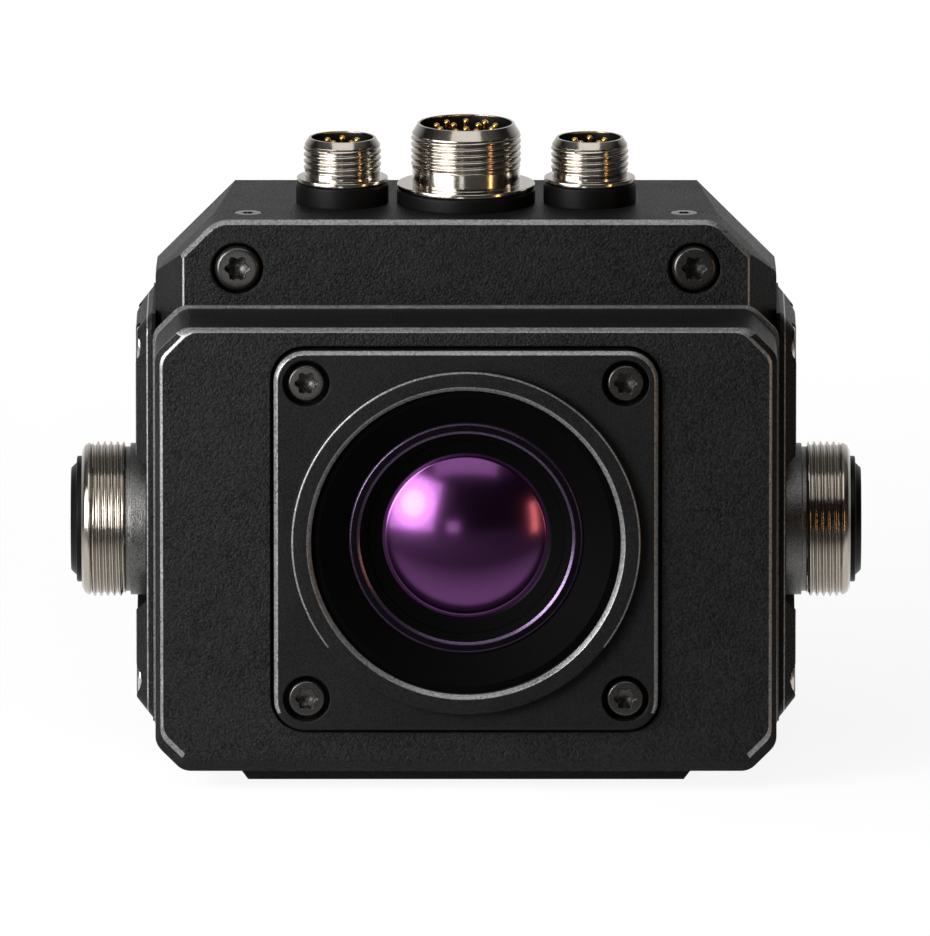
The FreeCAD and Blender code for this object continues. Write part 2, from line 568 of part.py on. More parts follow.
def make_front_cover():
    body = new_body("front_cover")
    slab(body, "XZ", cover_outline("0"), COVER_FRONT, COVER_REAR)
    soften(body, "Fillet", "cover_corner_round", lambda e: along(e, 1))
    rear = size["housing_front"] - size["gasket"]
    front = rear - size["cover_depth"]
    soften(body, "Chamfer", "cover_edge", lambda e: lies_at(e, 1, front))
    cut(body, "XZ", mirror_box(COVER_HALF + " - cover_wall", "foot_thickness + cover_wall", COVER_TOP + " - cover_wall"),
        COVER_FRONT + " + cover_front_wall", COVER_REAR)
    for sign in ("", "-"):
        for middle in (COVER_SCREW_LOW, COVER_SCREW_HIGH):
            slab(body, "XZ", box("%s(%s - boss_width / 2)" % (sign, COVER_SCREW_X), middle + " - boss_width / 2",
                                 "%s(%s - cover_wall / 2)" % (sign, COVER_HALF), middle + " + boss_width / 2"),
                 COVER_FRONT + " + cover_front_wall / 2", COVER_REAR)
    bore(body, "XZ", cover_screws(), "m_four + slip", COVER_REAR + " - cover_screw_deep", COVER_REAR)
    cut(body, "XZ", box("-(flange_half_width + flange_gap)",
                        "lens_height - flange_half_height - flange_gap",
                        "flange_half_width + flange_gap",
                        "lens_height + flange_half_height + flange_gap"),
        COVER_FRONT + " - 1", COVER_FRONT + " + flange_seat")
    inner = size["flange_half_width"] + size["flange_gap"]
    soften(body, "Fillet", "flange_corner + flange_gap",
           lambda e: along(e, 1) and abs(abs(e.CenterOfMass.x) - inner) < 0.01
           and abs(e.Length - size["flange_seat"]) < 0.01)
    bore(body, "XZ", [("0", "lens_height")], "barrel_radius + barrel_collar + barrel_gap", COVER_FRONT, COVER_REAR)
    bore(body, "XZ", [(a, "lens_height + " + b) for a, b in flange_screws()],
         "m_three + slip", COVER_FRONT + " + flange_seat", COVER_FRONT + " + cover_front_wall")
    return body


def make_front_gasket():
    """The thin metal frame with its seal between the front block and the housing."""
    body = new_body("front_cover_gasket")
    slab(body, "XZ", cover_outline("frame_lip"), COVER_REAR, "housing_front")
    soften(body, "Fillet", "cover_corner_round", lambda e: along(e, 1))
    cut(body, "XZ", mirror_box(COVER_SCREW_X + " - boss_width / 2", "foot_thickness + 2 * cover_wall",
                               COVER_TOP + " - 2 * cover_wall"), COVER_REAR + " - 1", "housing_front + 1")
    bore(body, "XZ", cover_screws(), "m_four + screw_gap", COVER_REAR + " - 1", "housing_front + 1")
    return body


def screws(label, places, shank, head, height, socket, reach, x="0", y="0", z="0", facing="up"):
    """Equal socket head screws: the underside of each head lies at the body's own zero."""
    body = new_body(label, x, y, z, facing)
    rod(body, "XY", places, head, "0", height)
    rod(body, "XY", places, shank, "-(%s)" % reach, "0")
    if socket:
        extrude(body, "Pocket", "XY", "%s / 2" % height, "%s + 1" % height,
                lambda sketch: add_hexagons(sketch, places, socket))
    return body


def make_flange():
    body = new_body("lens_flange", "0", COVER_FRONT, "lens_height", "front")
    low = "-(flange_seat - gasket)"
    slab(body, "XY", box("-flange_half_width", "-flange_half_height", "flange_half_width",
                         "flange_half_height"), low, "flange_proud")
    soften(body, "Fillet", "flange_corner", lambda e: along(e, 2))
    front = size["flange_proud"]
    soften(body, "Chamfer", "flange_edge", lambda e: lies_at(e, 2, front))
    rod(body, "XY", [("0", "0")], "ring_radius", "flange_proud", "ring_front")
    tip = size["ring_front"]
    soften(body, "Chamfer", "ring_edge", lambda e: lies_at(e, 2, tip))
    bore(body, "XY", [("0", "0")], "barrel_radius + slip", low + " - 1", "ring_front + 1")
    soften(body, "Chamfer", "ring_inner_edge",
           lambda e: lies_at(e, 2, tip) and e.BoundBox.XMax < size["barrel_radius"] + 0.5)
    places = flange_screws()
    bore(body, "XY", places, "flange_screw_bore", "flange_proud - m_three_head_height - head_sink",
         "flange_proud + 1")
    bore(body, "XY", places, "m_three + screw_gap", low + " - 1", "flange_proud")
    return body


def make_flange_gasket():
    body = new_body("lens_flange_gasket", "0", COVER_FRONT, "lens_height", "front")
    slab(body, "XY", box("-(flange_half_width - gasket)", "-(flange_half_height - gasket)",
                         "flange_half_width - gasket", "flange_half_height - gasket"),
         "-flange_seat", "gasket - flange_seat")
    soften(body, "Fillet", "flange_corner", lambda e: along(e, 2))
    bore(body, "XY", [("0", "0")], "barrel_radius + barrel_collar + barrel_gap", "-(flange_seat + 1)", "0")
    bore(body, "XY", flange_screws(), "m_three + screw_gap", "-(flange_seat + 1)", "0")
    return body


def make_barrel():
    body = new_body("lens_barrel", "0", COVER_FRONT, "lens_height", "front")
    seat = "barrel_front - cone_depth - bezel_thickness"
    shelf = "(%s - lens_rim)" % seat
    collar = "-(flange_seat - gasket)"
    inner = "(rear_lens_depth - barrel_back)"
    turn(body, [("barrel_radius - barrel_rim", "barrel_front"), ("barrel_radius", "barrel_front"),
                ("barrel_radius", collar), ("barrel_radius + barrel_collar", collar),
                ("barrel_radius + barrel_collar", collar + " - barrel_collar_width"),
                ("barrel_tube", collar + " - barrel_collar_width"),
                ("barrel_tube", "-barrel_back"), ("rear_lens_radius + slip", "-barrel_back"),
                ("rear_lens_radius + slip", inner), ("rear_lens_radius - barrel_step", inner),
                ("rear_lens_radius - barrel_step", inner + " + barrel_step"),
                ("bezel_radius - barrel_land", inner + " + barrel_step + barrel_taper"),
                ("bezel_radius - barrel_land", shelf), ("bezel_radius + slip", shelf),
                ("bezel_radius + slip", "barrel_front - cone_depth")])
    return body


# Where a lens outline's corners and the middle of its arc stand before the dimensions move them
LENS_START = ((0, 0), (10, 0), (10, 2), (7, 2), (4, 3.4), (0, 4))


def dome_profile(body, radius, clear, dome, low, rim):
    """A lens with a flat rim and a domed front, turned about its own Z."""
    sketch = new_sketch(body, "XZ", "0")
    rise = "(sqrt(%s * %s - %s * %s))" % (dome, dome, clear, clear)
    crown = "%s + %s + %s - %s" % (low, rim, dome, rise)
    line = Part.LineSegment
    start = [Vector(x, y, 0) for x, y in LENS_START]
    for i in range(3):
        sketch.addGeometry(line(start[i], start[i + 1]), False)
    sketch.addGeometry(Part.Arc(start[3], start[4], start[5]), False)
    sketch.addGeometry(line(start[5], start[0]), False)
    sketch.addConstraint(Sketcher.Constraint("Coincident", 0, 2, 1, 1))
    sketch.addConstraint(Sketcher.Constraint("Coincident", 1, 2, 2, 1))
    ends = [sketch.Geometry[3].StartPoint, sketch.Geometry[3].EndPoint]
    crown_end = 1 if ends[0].x < ends[1].x else 2
    sketch.addConstraint(Sketcher.Constraint("Coincident", 2, 2, 3, 3 - crown_end))
    sketch.addConstraint(Sketcher.Constraint("Coincident", 3, crown_end, 4, 1))
    sketch.addConstraint(Sketcher.Constraint("Coincident", 4, 2, 0, 1))
    corners = [("0", low), (radius, low), (radius, "%s + %s" % (low, rim)), (clear, "%s + %s" % (low, rim))]
    for i, (across, up) in enumerate(corners):
        if i < 3:
            bind(sketch, "DistanceX", "across%d" % i, (-1, 1, i, 1), across)
            bind(sketch, "DistanceY", "up%d" % i, (-1, 1, i, 1), up)
        else:
            bind(sketch, "DistanceX", "across3", (-1, 1, 2, 2), across)
            bind(sketch, "DistanceY", "up3", (-1, 1, 2, 2), up)
    bind(sketch, "DistanceX", "crown_across", (-1, 1, 4, 1), "0")
    bind(sketch, "DistanceY", "crown_up", (-1, 1, 4, 1), crown)
    bind(sketch, "Radius", "dome", (3,), dome)
    doc.recompute()
    feature = body.newObject("PartDesign::Revolution", "turned")
    feature.Profile = sketch
    feature.ReferenceAxis = (sketch, ["V_Axis"])
    feature.Angle = 360
    doc.recompute()
    return feature


def make_lenses():
    seat = "(barrel_front - cone_depth - bezel_thickness)"
    front = new_body("front_lens", "0", COVER_FRONT, "lens_height", "front")
    dome_profile(front, "(bezel_radius - slip)", "lens_clear_radius", "lens_dome", seat + " - lens_rim",
                 "lens_rim")
    ring = new_body("front_lens_ring", "0", COVER_FRONT, "lens_height", "front")
    turn(ring, [("bezel_radius", seat), ("bezel_radius", seat + " + bezel_thickness"),
                ("bezel_radius - bezel_flat", seat + " + bezel_thickness"),
                ("lens_clear_radius + bezel_clear", seat + " + bezel_lip"), ("lens_clear_radius + bezel_clear", seat)])
    rear_seat = "(rear_lens_depth - barrel_back)"
    rear = new_body("rear_lens", "0", COVER_FRONT, "lens_height", "front")
    dome_profile(rear, "rear_lens_radius", "(rear_lens_radius - rear_lens_margin)", "rear_lens_dome",
                 rear_seat + " - rear_lens_rim", "rear_lens_rim")
    clip = new_body("rear_lens_ring", "0", COVER_FRONT, "lens_height", "front")
    tube(clip, "XY", "rear_lens_radius", "rear_lens_radius - rear_lens_margin",
         rear_seat + " - rear_lens_rim - rear_ring_height", rear_seat + " - rear_lens_rim")
    return front, ring, rear, clip


def make_rear_cover():
    outline = roof_outline("(housing_half_width - rear_inset)", "foot_thickness + rear_inset",
                           "(%s - rear_inset)" % TOP, "(roof_chamfer - 0.5858 * rear_inset)")
    places = rear_screws()
    seal = new_body("rear_cover_gasket")
    slab(seal, "XZ", outline, REAR, REAR + " + gasket")
    cut(seal, "XZ", mirror_box(REAR_SCREW_X + " - post_width / 2", "rear_screw_low + post_width / 2",
                               REAR_SCREW_HIGH + " - post_width / 2"), REAR + " - 1", REAR + " + gasket + 1")
    bore(seal, "XZ", places, "m_three + screw_gap", REAR + " - 1", REAR + " + gasket + 1")
    cover = new_body("rear_cover")
    back = REAR + " + gasket + rear_thickness"
    slab(cover, "XZ", outline, REAR + " + gasket", back)
    rear = size["housing_front"] + size["housing_depth"] + size["gasket"] + size["rear_thickness"]
    soften(cover, "Chamfer", "edge_break", lambda e: lies_at(e, 1, rear))
    bore(cover, "XZ", places, "m_three_head + head_gap", back + " - m_three_low_height - head_sink",
         back + " + 1")
    bore(cover, "XZ", places, "m_three + screw_gap", REAR, back)
    screws("rear_cover_screws", [(a, "-(%s)" % b) for a, b in places], "m_three", "m_three_head",
           "m_three_low_height", "m_three_socket", "rear_screw_reach", "0",
           back + " - m_three_low_height - head_sink", "0", "rear")
    return seal, cover


def make_side(sign, label):
    """One side cover with its gasket; both are drawn at their places."""
    low_y = "side_axis_y - side_half_depth"
    high_y = "side_axis_y + side_half_depth"

    def span(near, far):
        return ("-(%s)" % far, "-(%s)" % near) if sign < 0 else (near, far)

    outline = box(low_y, "side_low", high_y, "side_high")
    places = side_screws()
    centre = [("side_axis_y", "side_axis_z")]
    seal = new_body("side_gasket_" + label)
    slab(seal, "YZ", outline, *span("housing_half_width", SIDE_SEAT))
    bore(seal, "YZ", centre, "side_tail_radius + thread_gap", *span("housing_half_width - 1", SIDE_SEAT + " + 1"))
    bore(seal, "YZ", places, "m_three + screw_gap", *span("housing_half_width - 1", SIDE_SEAT + " + 1"))
    cover = new_body("side_cover_" + label)
    face = SIDE_SEAT + " + side_thickness"
    slab(cover, "YZ", outline, *span(SIDE_SEAT, face))
    soften(cover, "Fillet", "side_edge + side_corner", lambda e: along(e, 0))
    far = size["housing_half_width"] + size["gasket"] + size["side_thickness"]
    soften(cover, "Chamfer", "side_edge", lambda e: lies_at(e, 0, sign * far))
    bore(cover, "YZ", centre, "side_pocket_radius", *span(face + " - side_pocket_depth", face + " + 1"))
    bore(cover, "YZ", centre, "side_tail_radius + slip", *span(SIDE_SEAT + " - 1", face))
    bore(cover, "YZ", places, "m_three_head + head_gap", *span(face + " - side_bore_deep", face + " + 1"))
    bore(cover, "YZ", places, "m_three + screw_gap", *span(SIDE_SEAT + " - 1", face))
    return seal, cover


def ring_places(count, radius, first):
    """Places spread evenly round a circle, from a first angle in degrees."""
    turns = [math.radians(first + 360 * i / count) for i in range(count)]
    return [("(%s) * %.6f" % (radius, math.cos(a)), "(%s) * %.6f" % (radius, math.sin(a))) for a in turns]


def make_top_receptacle(name, kind, x):
    """Shell, sealing ring and insert of one receptacle on the roof."""
    seal = new_body("sealing_ring_" + name, x, "top_axis_y", TOP)
    tail = kind + "_tail_radius"
    tube(seal, "XY", kind + "_seal_radius", tail + " + slip", "0", kind + "_seal_height")
    soften(seal, "Chamfer", "seal_edge", lambda e: lies_at(e, 2, size[kind + "_seal_height"])
           and e.BoundBox.XMax > size[kind + "_seal_radius"] - 0.1)
    shell = new_body("receptacle_shell_" + name, x, "top_axis_y", TOP)
    flange = kind + "_seal_height"
    neck = "%s + %s_flange_height" % (flange, kind)
    thread = "%s + %s_neck_height" % (neck, kind)
    shoulder = "%s + %s_thread_height" % (thread, kind)
    rim = "%s + %s_rim_height" % (shoulder, kind)
    floor = "%s - %s_mouth_depth" % (rim, kind)
    core = "(%s_mouth_radius - tail_wall)" % kind
    turn(shell, [(kind + "_mouth_radius", rim), (kind + "_rim_radius", rim), (kind + "_thread_radius", shoulder),
                 (kind + "_thread_radius", thread), (kind + "_neck_radius", thread), (kind + "_neck_radius", neck),
                 (kind + "_flange_radius", neck), (kind + "_flange_radius", flange), (tail, flange),
                 (tail, "-tail_length"), (core, "-tail_length"), (core, floor), (kind + "_mouth_radius", floor)])
    insert = new_body("contact_insert_" + name, x, "top_axis_y", TOP)
    rod(insert, "XY", [("0", "0")], core + " - slip", "-tail_length", floor)
    if kind == "small":
        pins = ring_places(5, "small_pin_circle", 90)
    else:
        pins = ring_places(9, "centre_pin_circle", 90) + ring_places(3, "centre_pin_inner", -90)
    return pins, floor, rim


def make_top_pins(label, pins, floor, rim, places):
    """Gold contact pins of equal receptacles, one node."""
    body = new_body(label, "0", "top_axis_y", TOP)
    spots = [("%s + %s" % (x, a), b) for x in places for a, b in pins]
    rod(body, "XY", spots, "pin_radius", floor, rim + " - pin_sink")


def make_top_nuts(label, kind, places):
    body = new_body(label, "0", "top_axis_y", TOP)
    for x in places:
        tube(body, "XY", kind + "_nut_radius", kind + "_tail_radius + slip", "-(wall + nut_height)", "-wall", (x, "0"))


def make_side_receptacle(label, x, facing):
    """Shell and insert of one receptacle at the side, its own Z pointing outwards."""
    shell = new_body("side_receptacle_shell_" + label, x, "side_axis_y", "side_axis_z", facing)
    groove = "side_neck_length"
    thread = "(side_neck_length + side_groove_length)"
    nose = "(%s + side_thread_length)" % thread
    mouth = "(%s + side_nose_length)" % nose
    floor = "(%s - side_mouth_depth)" % mouth
    turn(shell, [("side_bore_radius", mouth), ("side_thread_radius - side_nose_tip", mouth),
                 ("side_thread_radius - side_nose_mid", nose + " + 0.7 * side_nose_length"),
                 ("side_thread_radius - side_nose_start", nose + " + 0.3 * side_nose_length"),
                 ("side_thread_radius", nose), ("side_thread_radius", thread),
                 ("side_groove_radius", thread), ("side_groove_radius", groove),
                 ("side_neck_radius", groove), ("side_neck_radius", "0"), ("side_tail_radius", "0"),
                 ("side_tail_radius", "-side_tail_length"), ("side_core_radius", "-side_tail_length"),
                 ("side_core_radius", floor), ("side_bore_radius", floor)])
    insert = new_body("side_insert_" + label, x, "side_axis_y", "side_axis_z", facing)
    face = "(%s + side_insert_proud)" % mouth
    turn(insert, [("0", "-side_tail_length"), ("side_core_radius - slip", "-side_tail_length"),
                  ("side_core_radius - slip", floor), ("side_bore_radius - slip", floor),
                  ("side_bore_radius - slip", mouth + " + side_insert_flare"),
                  ("side_core_radius + side_insert_round", mouth + " + side_insert_flare + slip"),
                  ("side_core_radius", face + " - side_insert_round"),
                  ("side_core_radius - side_insert_round", face), ("0", face)])
    contacts = [("0", "0")] + ring_places(4, "side_contact_circle", 0)
    bore(insert, "XY", contacts, "side_contact_radius + side_contact_gap", face + " - side_contact_depth", face)
    pins = new_body("side_contacts_" + label, x, "side_axis_y", "side_axis_z", facing)
    rod(pins, "XY", contacts, "side_contact_radius", face + " - side_contact_depth", face + " - side_contact_sink")


def make_side_nuts():
    body = new_body("side_ring_nuts", "0", "side_axis_y", "side_axis_z", "right")
    for low, high in (("housing_half_width - wall - side_nut_height", "housing_half_width - wall"),
                      ("wall - housing_half_width", "wall + side_nut_height - housing_half_width")):
        tube(body, "XY", "side_nut_radius", "side_tail_radius + slip", low, high)


def make_foot():
    body = new_body("mounting_foot")
    right = [("foot_half_width - foot_chamfer", "0"), ("foot_half_width - foot_shoulder", "foot_thickness / 2"),
             ("foot_half_width", "foot_thickness")]
    slab(body, "XZ", right + [("-(%s)" % a, b) for a, b in reversed(right)], "-foot_half_depth", "foot_half_depth")
    bore(body, "XY", four("foot_hole_x", "foot_hole_y"), "foot_hole_radius", "-1", "foot_thickness")
    places = foot_screws()
    bore(body, "XY", places, "m_three_head + screw_gap", "-1", "m_three_low_height + head_sink")
    bore(body, "XY", places, "m_three + screw_gap", "0", "foot_thickness + 1")
    flipped = [(a, "-(%s)" % b) for a, b in places]
    screws("foot_screws", flipped, "m_three", "m_three_head", "m_three_low_height", "m_three_socket",
           "foot_screw_reach", "0", "0", "m_three_low_height + head_sink", "down")


def make_fasteners():
    screws("lens_flange_screws", flange_screws(), "m_three", "m_three_head", "m_three_head_height",
           "m_three_socket", "flange_screw_reach", "0",
           COVER_FRONT + " - (flange_proud - m_three_head_height - head_sink)", "lens_height", "front")
    screws("upper_screws", both("upper_screw_x", "0"), "m_four", "m_four_head", "m_four_head_height",
           "m_four_socket", "upper_screw_reach", "0", "housing_front + m_four_head_height + head_sink",
           UPPER_SCREW_Z, "front")
    screws("front_cover_screws", [(a, "-(%s)" % b) for a, b in cover_screws()], "m_four", "m_four_head",
           "m_four_head_height", None, "cover_screw_reach", "0", INNER_FRONT, "0", "rear")
    seat = "(%s + side_thickness - side_bore_deep)" % SIDE_SEAT
    screws("side_cover_screws_left", [(z, y) for y, z in side_screws()], "m_three", "m_three_head",
           "m_three_low_height", "m_three_socket", "side_screw_reach", "-" + seat, "0", "0", "left")
    screws("side_cover_screws_right", [("-(%s)" % z, y) for y, z in side_screws()], "m_three", "m_three_head",
           "m_three_low_height", "m_three_socket", "side_screw_reach", seat, "0", "0", "right")
    plugs = new_body("roof_plugs", "0", "0", TOP)
    rod(plugs, "XY", both("plug_x", "housing_front + plug_setback"), "plug_radius", "-plug_depth", "0")


def make_chassis():
    body = new_body("chassis_plate")
    low = UPPER_SCREW_Z + " - ear_below"
    high = UPPER_SCREW_Z + " + ear_above"
    outer = "upper_screw_x + ear_outside"
    right = [("chassis_half_width", "chassis_low"), ("chassis_half_width", low), (outer, low),
             (outer, high + " - ear_corner"), (outer + " - ear_corner", high),
             ("upper_screw_x - ear_inside", high), ("upper_screw_x - ear_inside", "chassis_high")]
    left = [("-(%s)" % a, b) for a, b in reversed(right)]
    slab(body, "XZ", right + left, INNER_FRONT, INNER_FRONT + " + chassis_thickness")
    bore(body, "XZ", [("0", "lens_height")], "barrel_tube + chassis_gap", INNER_FRONT + " - 1",
         INNER_FRONT + " + chassis_thickness + 1")
    bore(body, "XZ", both("upper_screw_x", UPPER_SCREW_Z), "m_four + slip",
         INNER_FRONT + " - 1", INNER_FRONT + " + chassis_thickness + 1")


def make_shutter():
    """The calibration shutter: a blade that swings before the sensor on a solenoid's shaft."""
    behind = BARREL_END
    frame = new_body("shutter_frame")
    slab(frame, "XZ", box("-shutter_left", "lens_height - shutter_rise", "shutter_right",
                          "lens_height + shutter_rise"), behind, behind + " + shutter_plate")
    soften(frame, "Fillet", "shutter_corner", lambda e: along(e, 1))
    bore(frame, "XZ", [("0", "lens_height")], "aperture_radius", behind + " - 1", behind + " + shutter_plate + 1")
    bore(frame, "XZ", [("pivot_x", "lens_height + pivot_rise")], "pivot_radius + slip", behind + " - 1",
         behind + " + shutter_plate + 1")
    reach = "(sqrt(pivot_x * pivot_x + pivot_rise * pivot_rise))"
    away = "(arm_half_width + stop_radius + blade_gap)"
    pivot_z = "lens_height + pivot_rise"
    parked = ("pivot_x + %s" % away, "%s - stop_reach" % pivot_z)
    closed = ("pivot_x - stop_reach * pivot_x / %s - %s * pivot_rise / %s" % (reach, away, reach),
              "%s - stop_reach * pivot_rise / %s + %s * pivot_x / %s" % (pivot_z, reach, away, reach))
    rod(frame, "XZ", [parked, closed], "stop_radius", behind + " + shutter_plate / 2",
        behind + " + shutter_plate + 2 * blade_gap + blade_thickness")
    near = behind + " + shutter_plate + blade_gap"
    far = near + " + blade_thickness"
    blade = new_body("shutter_blade")
    rod(blade, "XZ", [("pivot_x", pivot_z)], "hub_radius", near, far)
    rod(blade, "XZ", [("pivot_x", "%s - %s" % (pivot_z, reach))], "blade_radius", near, far)
    slab(blade, "XZ", box("pivot_x - arm_half_width", "%s - %s" % (pivot_z, reach),
                          "pivot_x + arm_half_width", pivot_z), near, far)
    bore(blade, "XZ", [("pivot_x", pivot_z)], "pivot_radius + pivot_fit", near + " - 1", far + " + 1")
    pin = new_body("shutter_pivot")
    rod(pin, "XZ", [("pivot_x", pivot_z)], "pivot_radius", behind + " + pivot_sink",
        behind + " + pivot_sink + pivot_length")
    drive = new_body("shutter_solenoid")
    rod(drive, "XZ", [("pivot_x", pivot_z)], "solenoid_radius", behind + " + solenoid_slot", "board_first")
    bore(drive, "XZ", [("pivot_x", pivot_z)], "pivot_radius + slip", behind,
         behind + " + pivot_sink + pivot_length + pivot_clear")


def make_boards():
    low_high = ("board_low + board_screw_margin", "board_high - board_screw_margin")
    places = [(a, z) for z in low_high for a in ("-(%s - board_screw_margin)" % BOARD_HALF,
                                                 "%s - board_screw_margin" % BOARD_HALF)]
    starts = ["(board_first + %d * board_pitch)" % i for i in range(3)]
    for name, start in zip(("sensor_board", "processor_board", "power_board"), starts):
        board = new_body(name)
        slab(board, "XZ", mirror_box(BOARD_HALF, "board_low", "board_high"), start,
             start + " + board_thickness")
        bore(board, "XZ", places, "board_screw + screw_gap", start + " - 1", start + " + board_thickness + 1")
        if name != "sensor_board":
            slab(board, "XZ", mirror_box("chip_half_width", "lens_height - chip_half_width",
                                         "lens_height + chip_half_width"),
                 start + " + board_thickness", start + " + board_thickness + chip_height")
    spans = ((INNER_FRONT + " + chassis_thickness", starts[0], "chassis_spacers"),
             (starts[0] + " + board_thickness", starts[1], "sensor_board_spacers"),
             (starts[1] + " + board_thickness", starts[2], "processor_board_spacers"))
    for low, high, name in spans:
        spacers = new_body(name)
        extrude(spacers, "Pad", "XZ", low, high, lambda sketch: add_hexagons(sketch, places, "spacer_radius"))
        bore(spacers, "XZ", places, "board_screw + slip", low + " - 1", high + " + 1")
    back = starts[2] + " + board_thickness"
    screws("board_screws", [(a, "-(%s)" % z) for a, z in places], "board_screw", "board_screw_head",
           "board_screw_head_height", None, "%s - %s - chassis_thickness - board_screw_deep" % (back, INNER_FRONT),
           "0", back, "0", "rear")
    package = new_body("sensor_package")
    front = "board_first - sensor_height"
    slab(package, "XZ", mirror_box("sensor_half_width", "lens_height - sensor_half_width",
                                   "lens_height + sensor_half_width"), front, "board_first")
    cut(package, "XZ", mirror_box("window_half_width", "lens_height - window_half_width",
                                  "lens_height + window_half_width"), front + " - 1",
        front + " + window_sink + window_thickness")
    window = new_body("sensor_window")
    slab(window, "XZ", mirror_box("window_half_width - slip", "lens_height - window_half_width + slip",
                                  "lens_height + window_half_width - slip"), front + " + window_sink",
         front + " + window_sink + window_thickness")


def make_receptacles():
    places = {"left": "-top_spacing", "centre": "0", "right": "top_spacing"}
    for name, x in places.items():
        kind = "centre" if name == "centre" else "small"
        pins, floor, rim = make_top_receptacle(name, kind, x)
        if name == "left":
            make_top_pins("small_contact_pins", pins, floor, rim, [places["left"], places["right"]])
        if name == "centre":
            make_top_pins("centre_contact_pins", pins, floor, rim, ["0"])
    make_top_nuts("small_ring_nuts", "small", [places["left"], places["right"]])
    make_top_nuts("centre_ring_nut", "centre", ["0"])
    make_side_receptacle("left", "-" + POCKET_FLOOR, "left")
    make_side_receptacle("right", POCKET_FLOOR, "right")
    make_side_nuts()


def main():
    make_housing()
    make_front_cover()
    make_front_gasket()
    make_flange()
    make_flange_gasket()
    make_barrel()
    make_lenses()
    make_rear_cover()
    make_side(-1, "left")
    make_side(1, "right")
    make_receptacles()
    make_foot()
    make_fasteners()
    make_chassis()
    make_shutter()
    make_boards()
    doc.recompute()
    for thing in doc.Objects:
        if "Invalid" in thing.State or "Error" in thing.State:
            raise RuntimeError("a failed object: %s in %s" % (thing.Label, thing.State))
    bodies = [thing for thing in doc.Objects if thing.TypeId == "PartDesign::Body"]
    for body in bodies:
        if body.Shape.isNull() or not body.Shape.isValid() or not body.Shape.Solids:
            raise RuntimeError("a bad shape: " + body.Label)
    os.makedirs("parts", exist_ok=True)
    for body in bodies:
        body.Shape.exportStep("parts/%s.step" % body.Label)
    print(len(bodies), "sub-parts")


main()
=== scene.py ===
"""Looks of the thermal camera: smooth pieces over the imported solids, materials, light and camera.

Lengths in the shape functions are in millimetres. X is to the right, Z is up, and the lens looks along -Y.
"""

import json
import math

import bmesh
import bpy
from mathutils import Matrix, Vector
from mathutils.geometry import delaunay_2d_cdt


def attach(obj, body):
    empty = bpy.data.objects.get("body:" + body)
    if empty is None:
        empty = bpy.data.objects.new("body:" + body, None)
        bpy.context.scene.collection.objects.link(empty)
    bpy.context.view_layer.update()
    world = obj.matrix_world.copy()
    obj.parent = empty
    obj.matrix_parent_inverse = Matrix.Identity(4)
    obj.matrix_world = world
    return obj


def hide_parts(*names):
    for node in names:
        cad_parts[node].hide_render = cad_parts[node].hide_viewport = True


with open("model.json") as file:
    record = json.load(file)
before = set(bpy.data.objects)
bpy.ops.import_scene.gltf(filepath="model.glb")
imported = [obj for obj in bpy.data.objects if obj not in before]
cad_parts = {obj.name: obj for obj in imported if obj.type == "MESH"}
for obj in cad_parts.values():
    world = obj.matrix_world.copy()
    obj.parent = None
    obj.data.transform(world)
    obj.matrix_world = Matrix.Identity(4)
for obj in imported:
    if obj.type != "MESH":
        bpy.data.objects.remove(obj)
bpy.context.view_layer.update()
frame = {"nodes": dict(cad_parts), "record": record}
scene = bpy.context.scene

MM = 0.001
AXES = {
    "up": ((1, 0, 0), (0, 1, 0), (0, 0, 1)),
    "down": ((1, 0, 0), (0, -1, 0), (0, 0, -1)),
    "front": ((1, 0, 0), (0, 0, 1), (0, -1, 0)),
    "rear": ((-1, 0, 0), (0, 0, 1), (0, 1, 0)),
    "right": ((0, 1, 0), (0, 0, 1), (1, 0, 0)),
    "left": ((0, -1, 0), (0, 0, 1), (-1, 0, 0)),
}


def span(name):
    """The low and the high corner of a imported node."""
    node = frame["nodes"][name]
    corners = [node.matrix_world @ Vector(c) / MM for c in node.bound_box]
    return [[round(pick(c[i] for c in corners), 3) for i in range(3)] for pick in (min, max)]


def middle(name, axis):
    low, high = span(name)
    return (low[axis] + high[axis]) / 2


(_, STEP, FOOT_TOP), (HALF, REAR, TOP) = span("main_housing")
(_, BLOCK_FRONT, _), (BLOCK_HALF, BLOCK_REAR, BLOCK_TOP) = span("front_cover")
(_, RING_FRONT, FLANGE_LOW), (FLANGE_HALF, FLANGE_BACK, FLANGE_HIGH) = span("lens_flange")
(SIDE_SEAT, SIDE_NEAR, SIDE_LOW), (SIDE_FACE, SIDE_FAR, SIDE_HIGH) = span("side_cover_right")
(_, COVER_SEAT, REAR_LOW), (REAR_HALF, BACK, REAR_HIGH) = span("rear_cover")
LENS_Z = middle("lens_flange", 2)
TOP_X = middle("receptacle_shell_right", 0)
TOP_Y = middle("receptacle_shell_right", 1)
SIDE_Y = middle("side_receptacle_shell_right", 1)
SIDE_Z = middle("side_receptacle_shell_right", 2)
PLUG_Y = middle("roof_plugs", 1)
UPPER_Z = middle("upper_screws", 2)

# Sizes that the boxes of the nodes don't give
WALL = 4
FRONT_WALL = 6
LENS_OPENING = 24
ROOF_SLOPE = 9.4
ROOF_ROUND = 4.5
SIDE_ROUND = 2
BASE_ROUND = 3
SIDE_BEVEL = 4.3
BEVEL_DEPTH = 7.5
EDGE_BREAK = 0.7
SEAM_Y = -1.5
SEAM_HALF = 0.06
ROOF_TAPER = 2.7
# By how much a corner cut at 45 degrees gets shorter for each unit that its outline moves inwards
SLOPE_INSET = 0.5858
EDGE_LINE = 0.09
# How far to the front point the normals of the housing's edge faces that get the worn edge material, which
# also paints a highlight on them
EDGE_FACING = (0.65, 0.95)
HOUSING_BEVEL = 0.22
BEVEL_STEPS = 3
BEVEL_ANGLE = 25
BLOCK_CORNER = 4.2
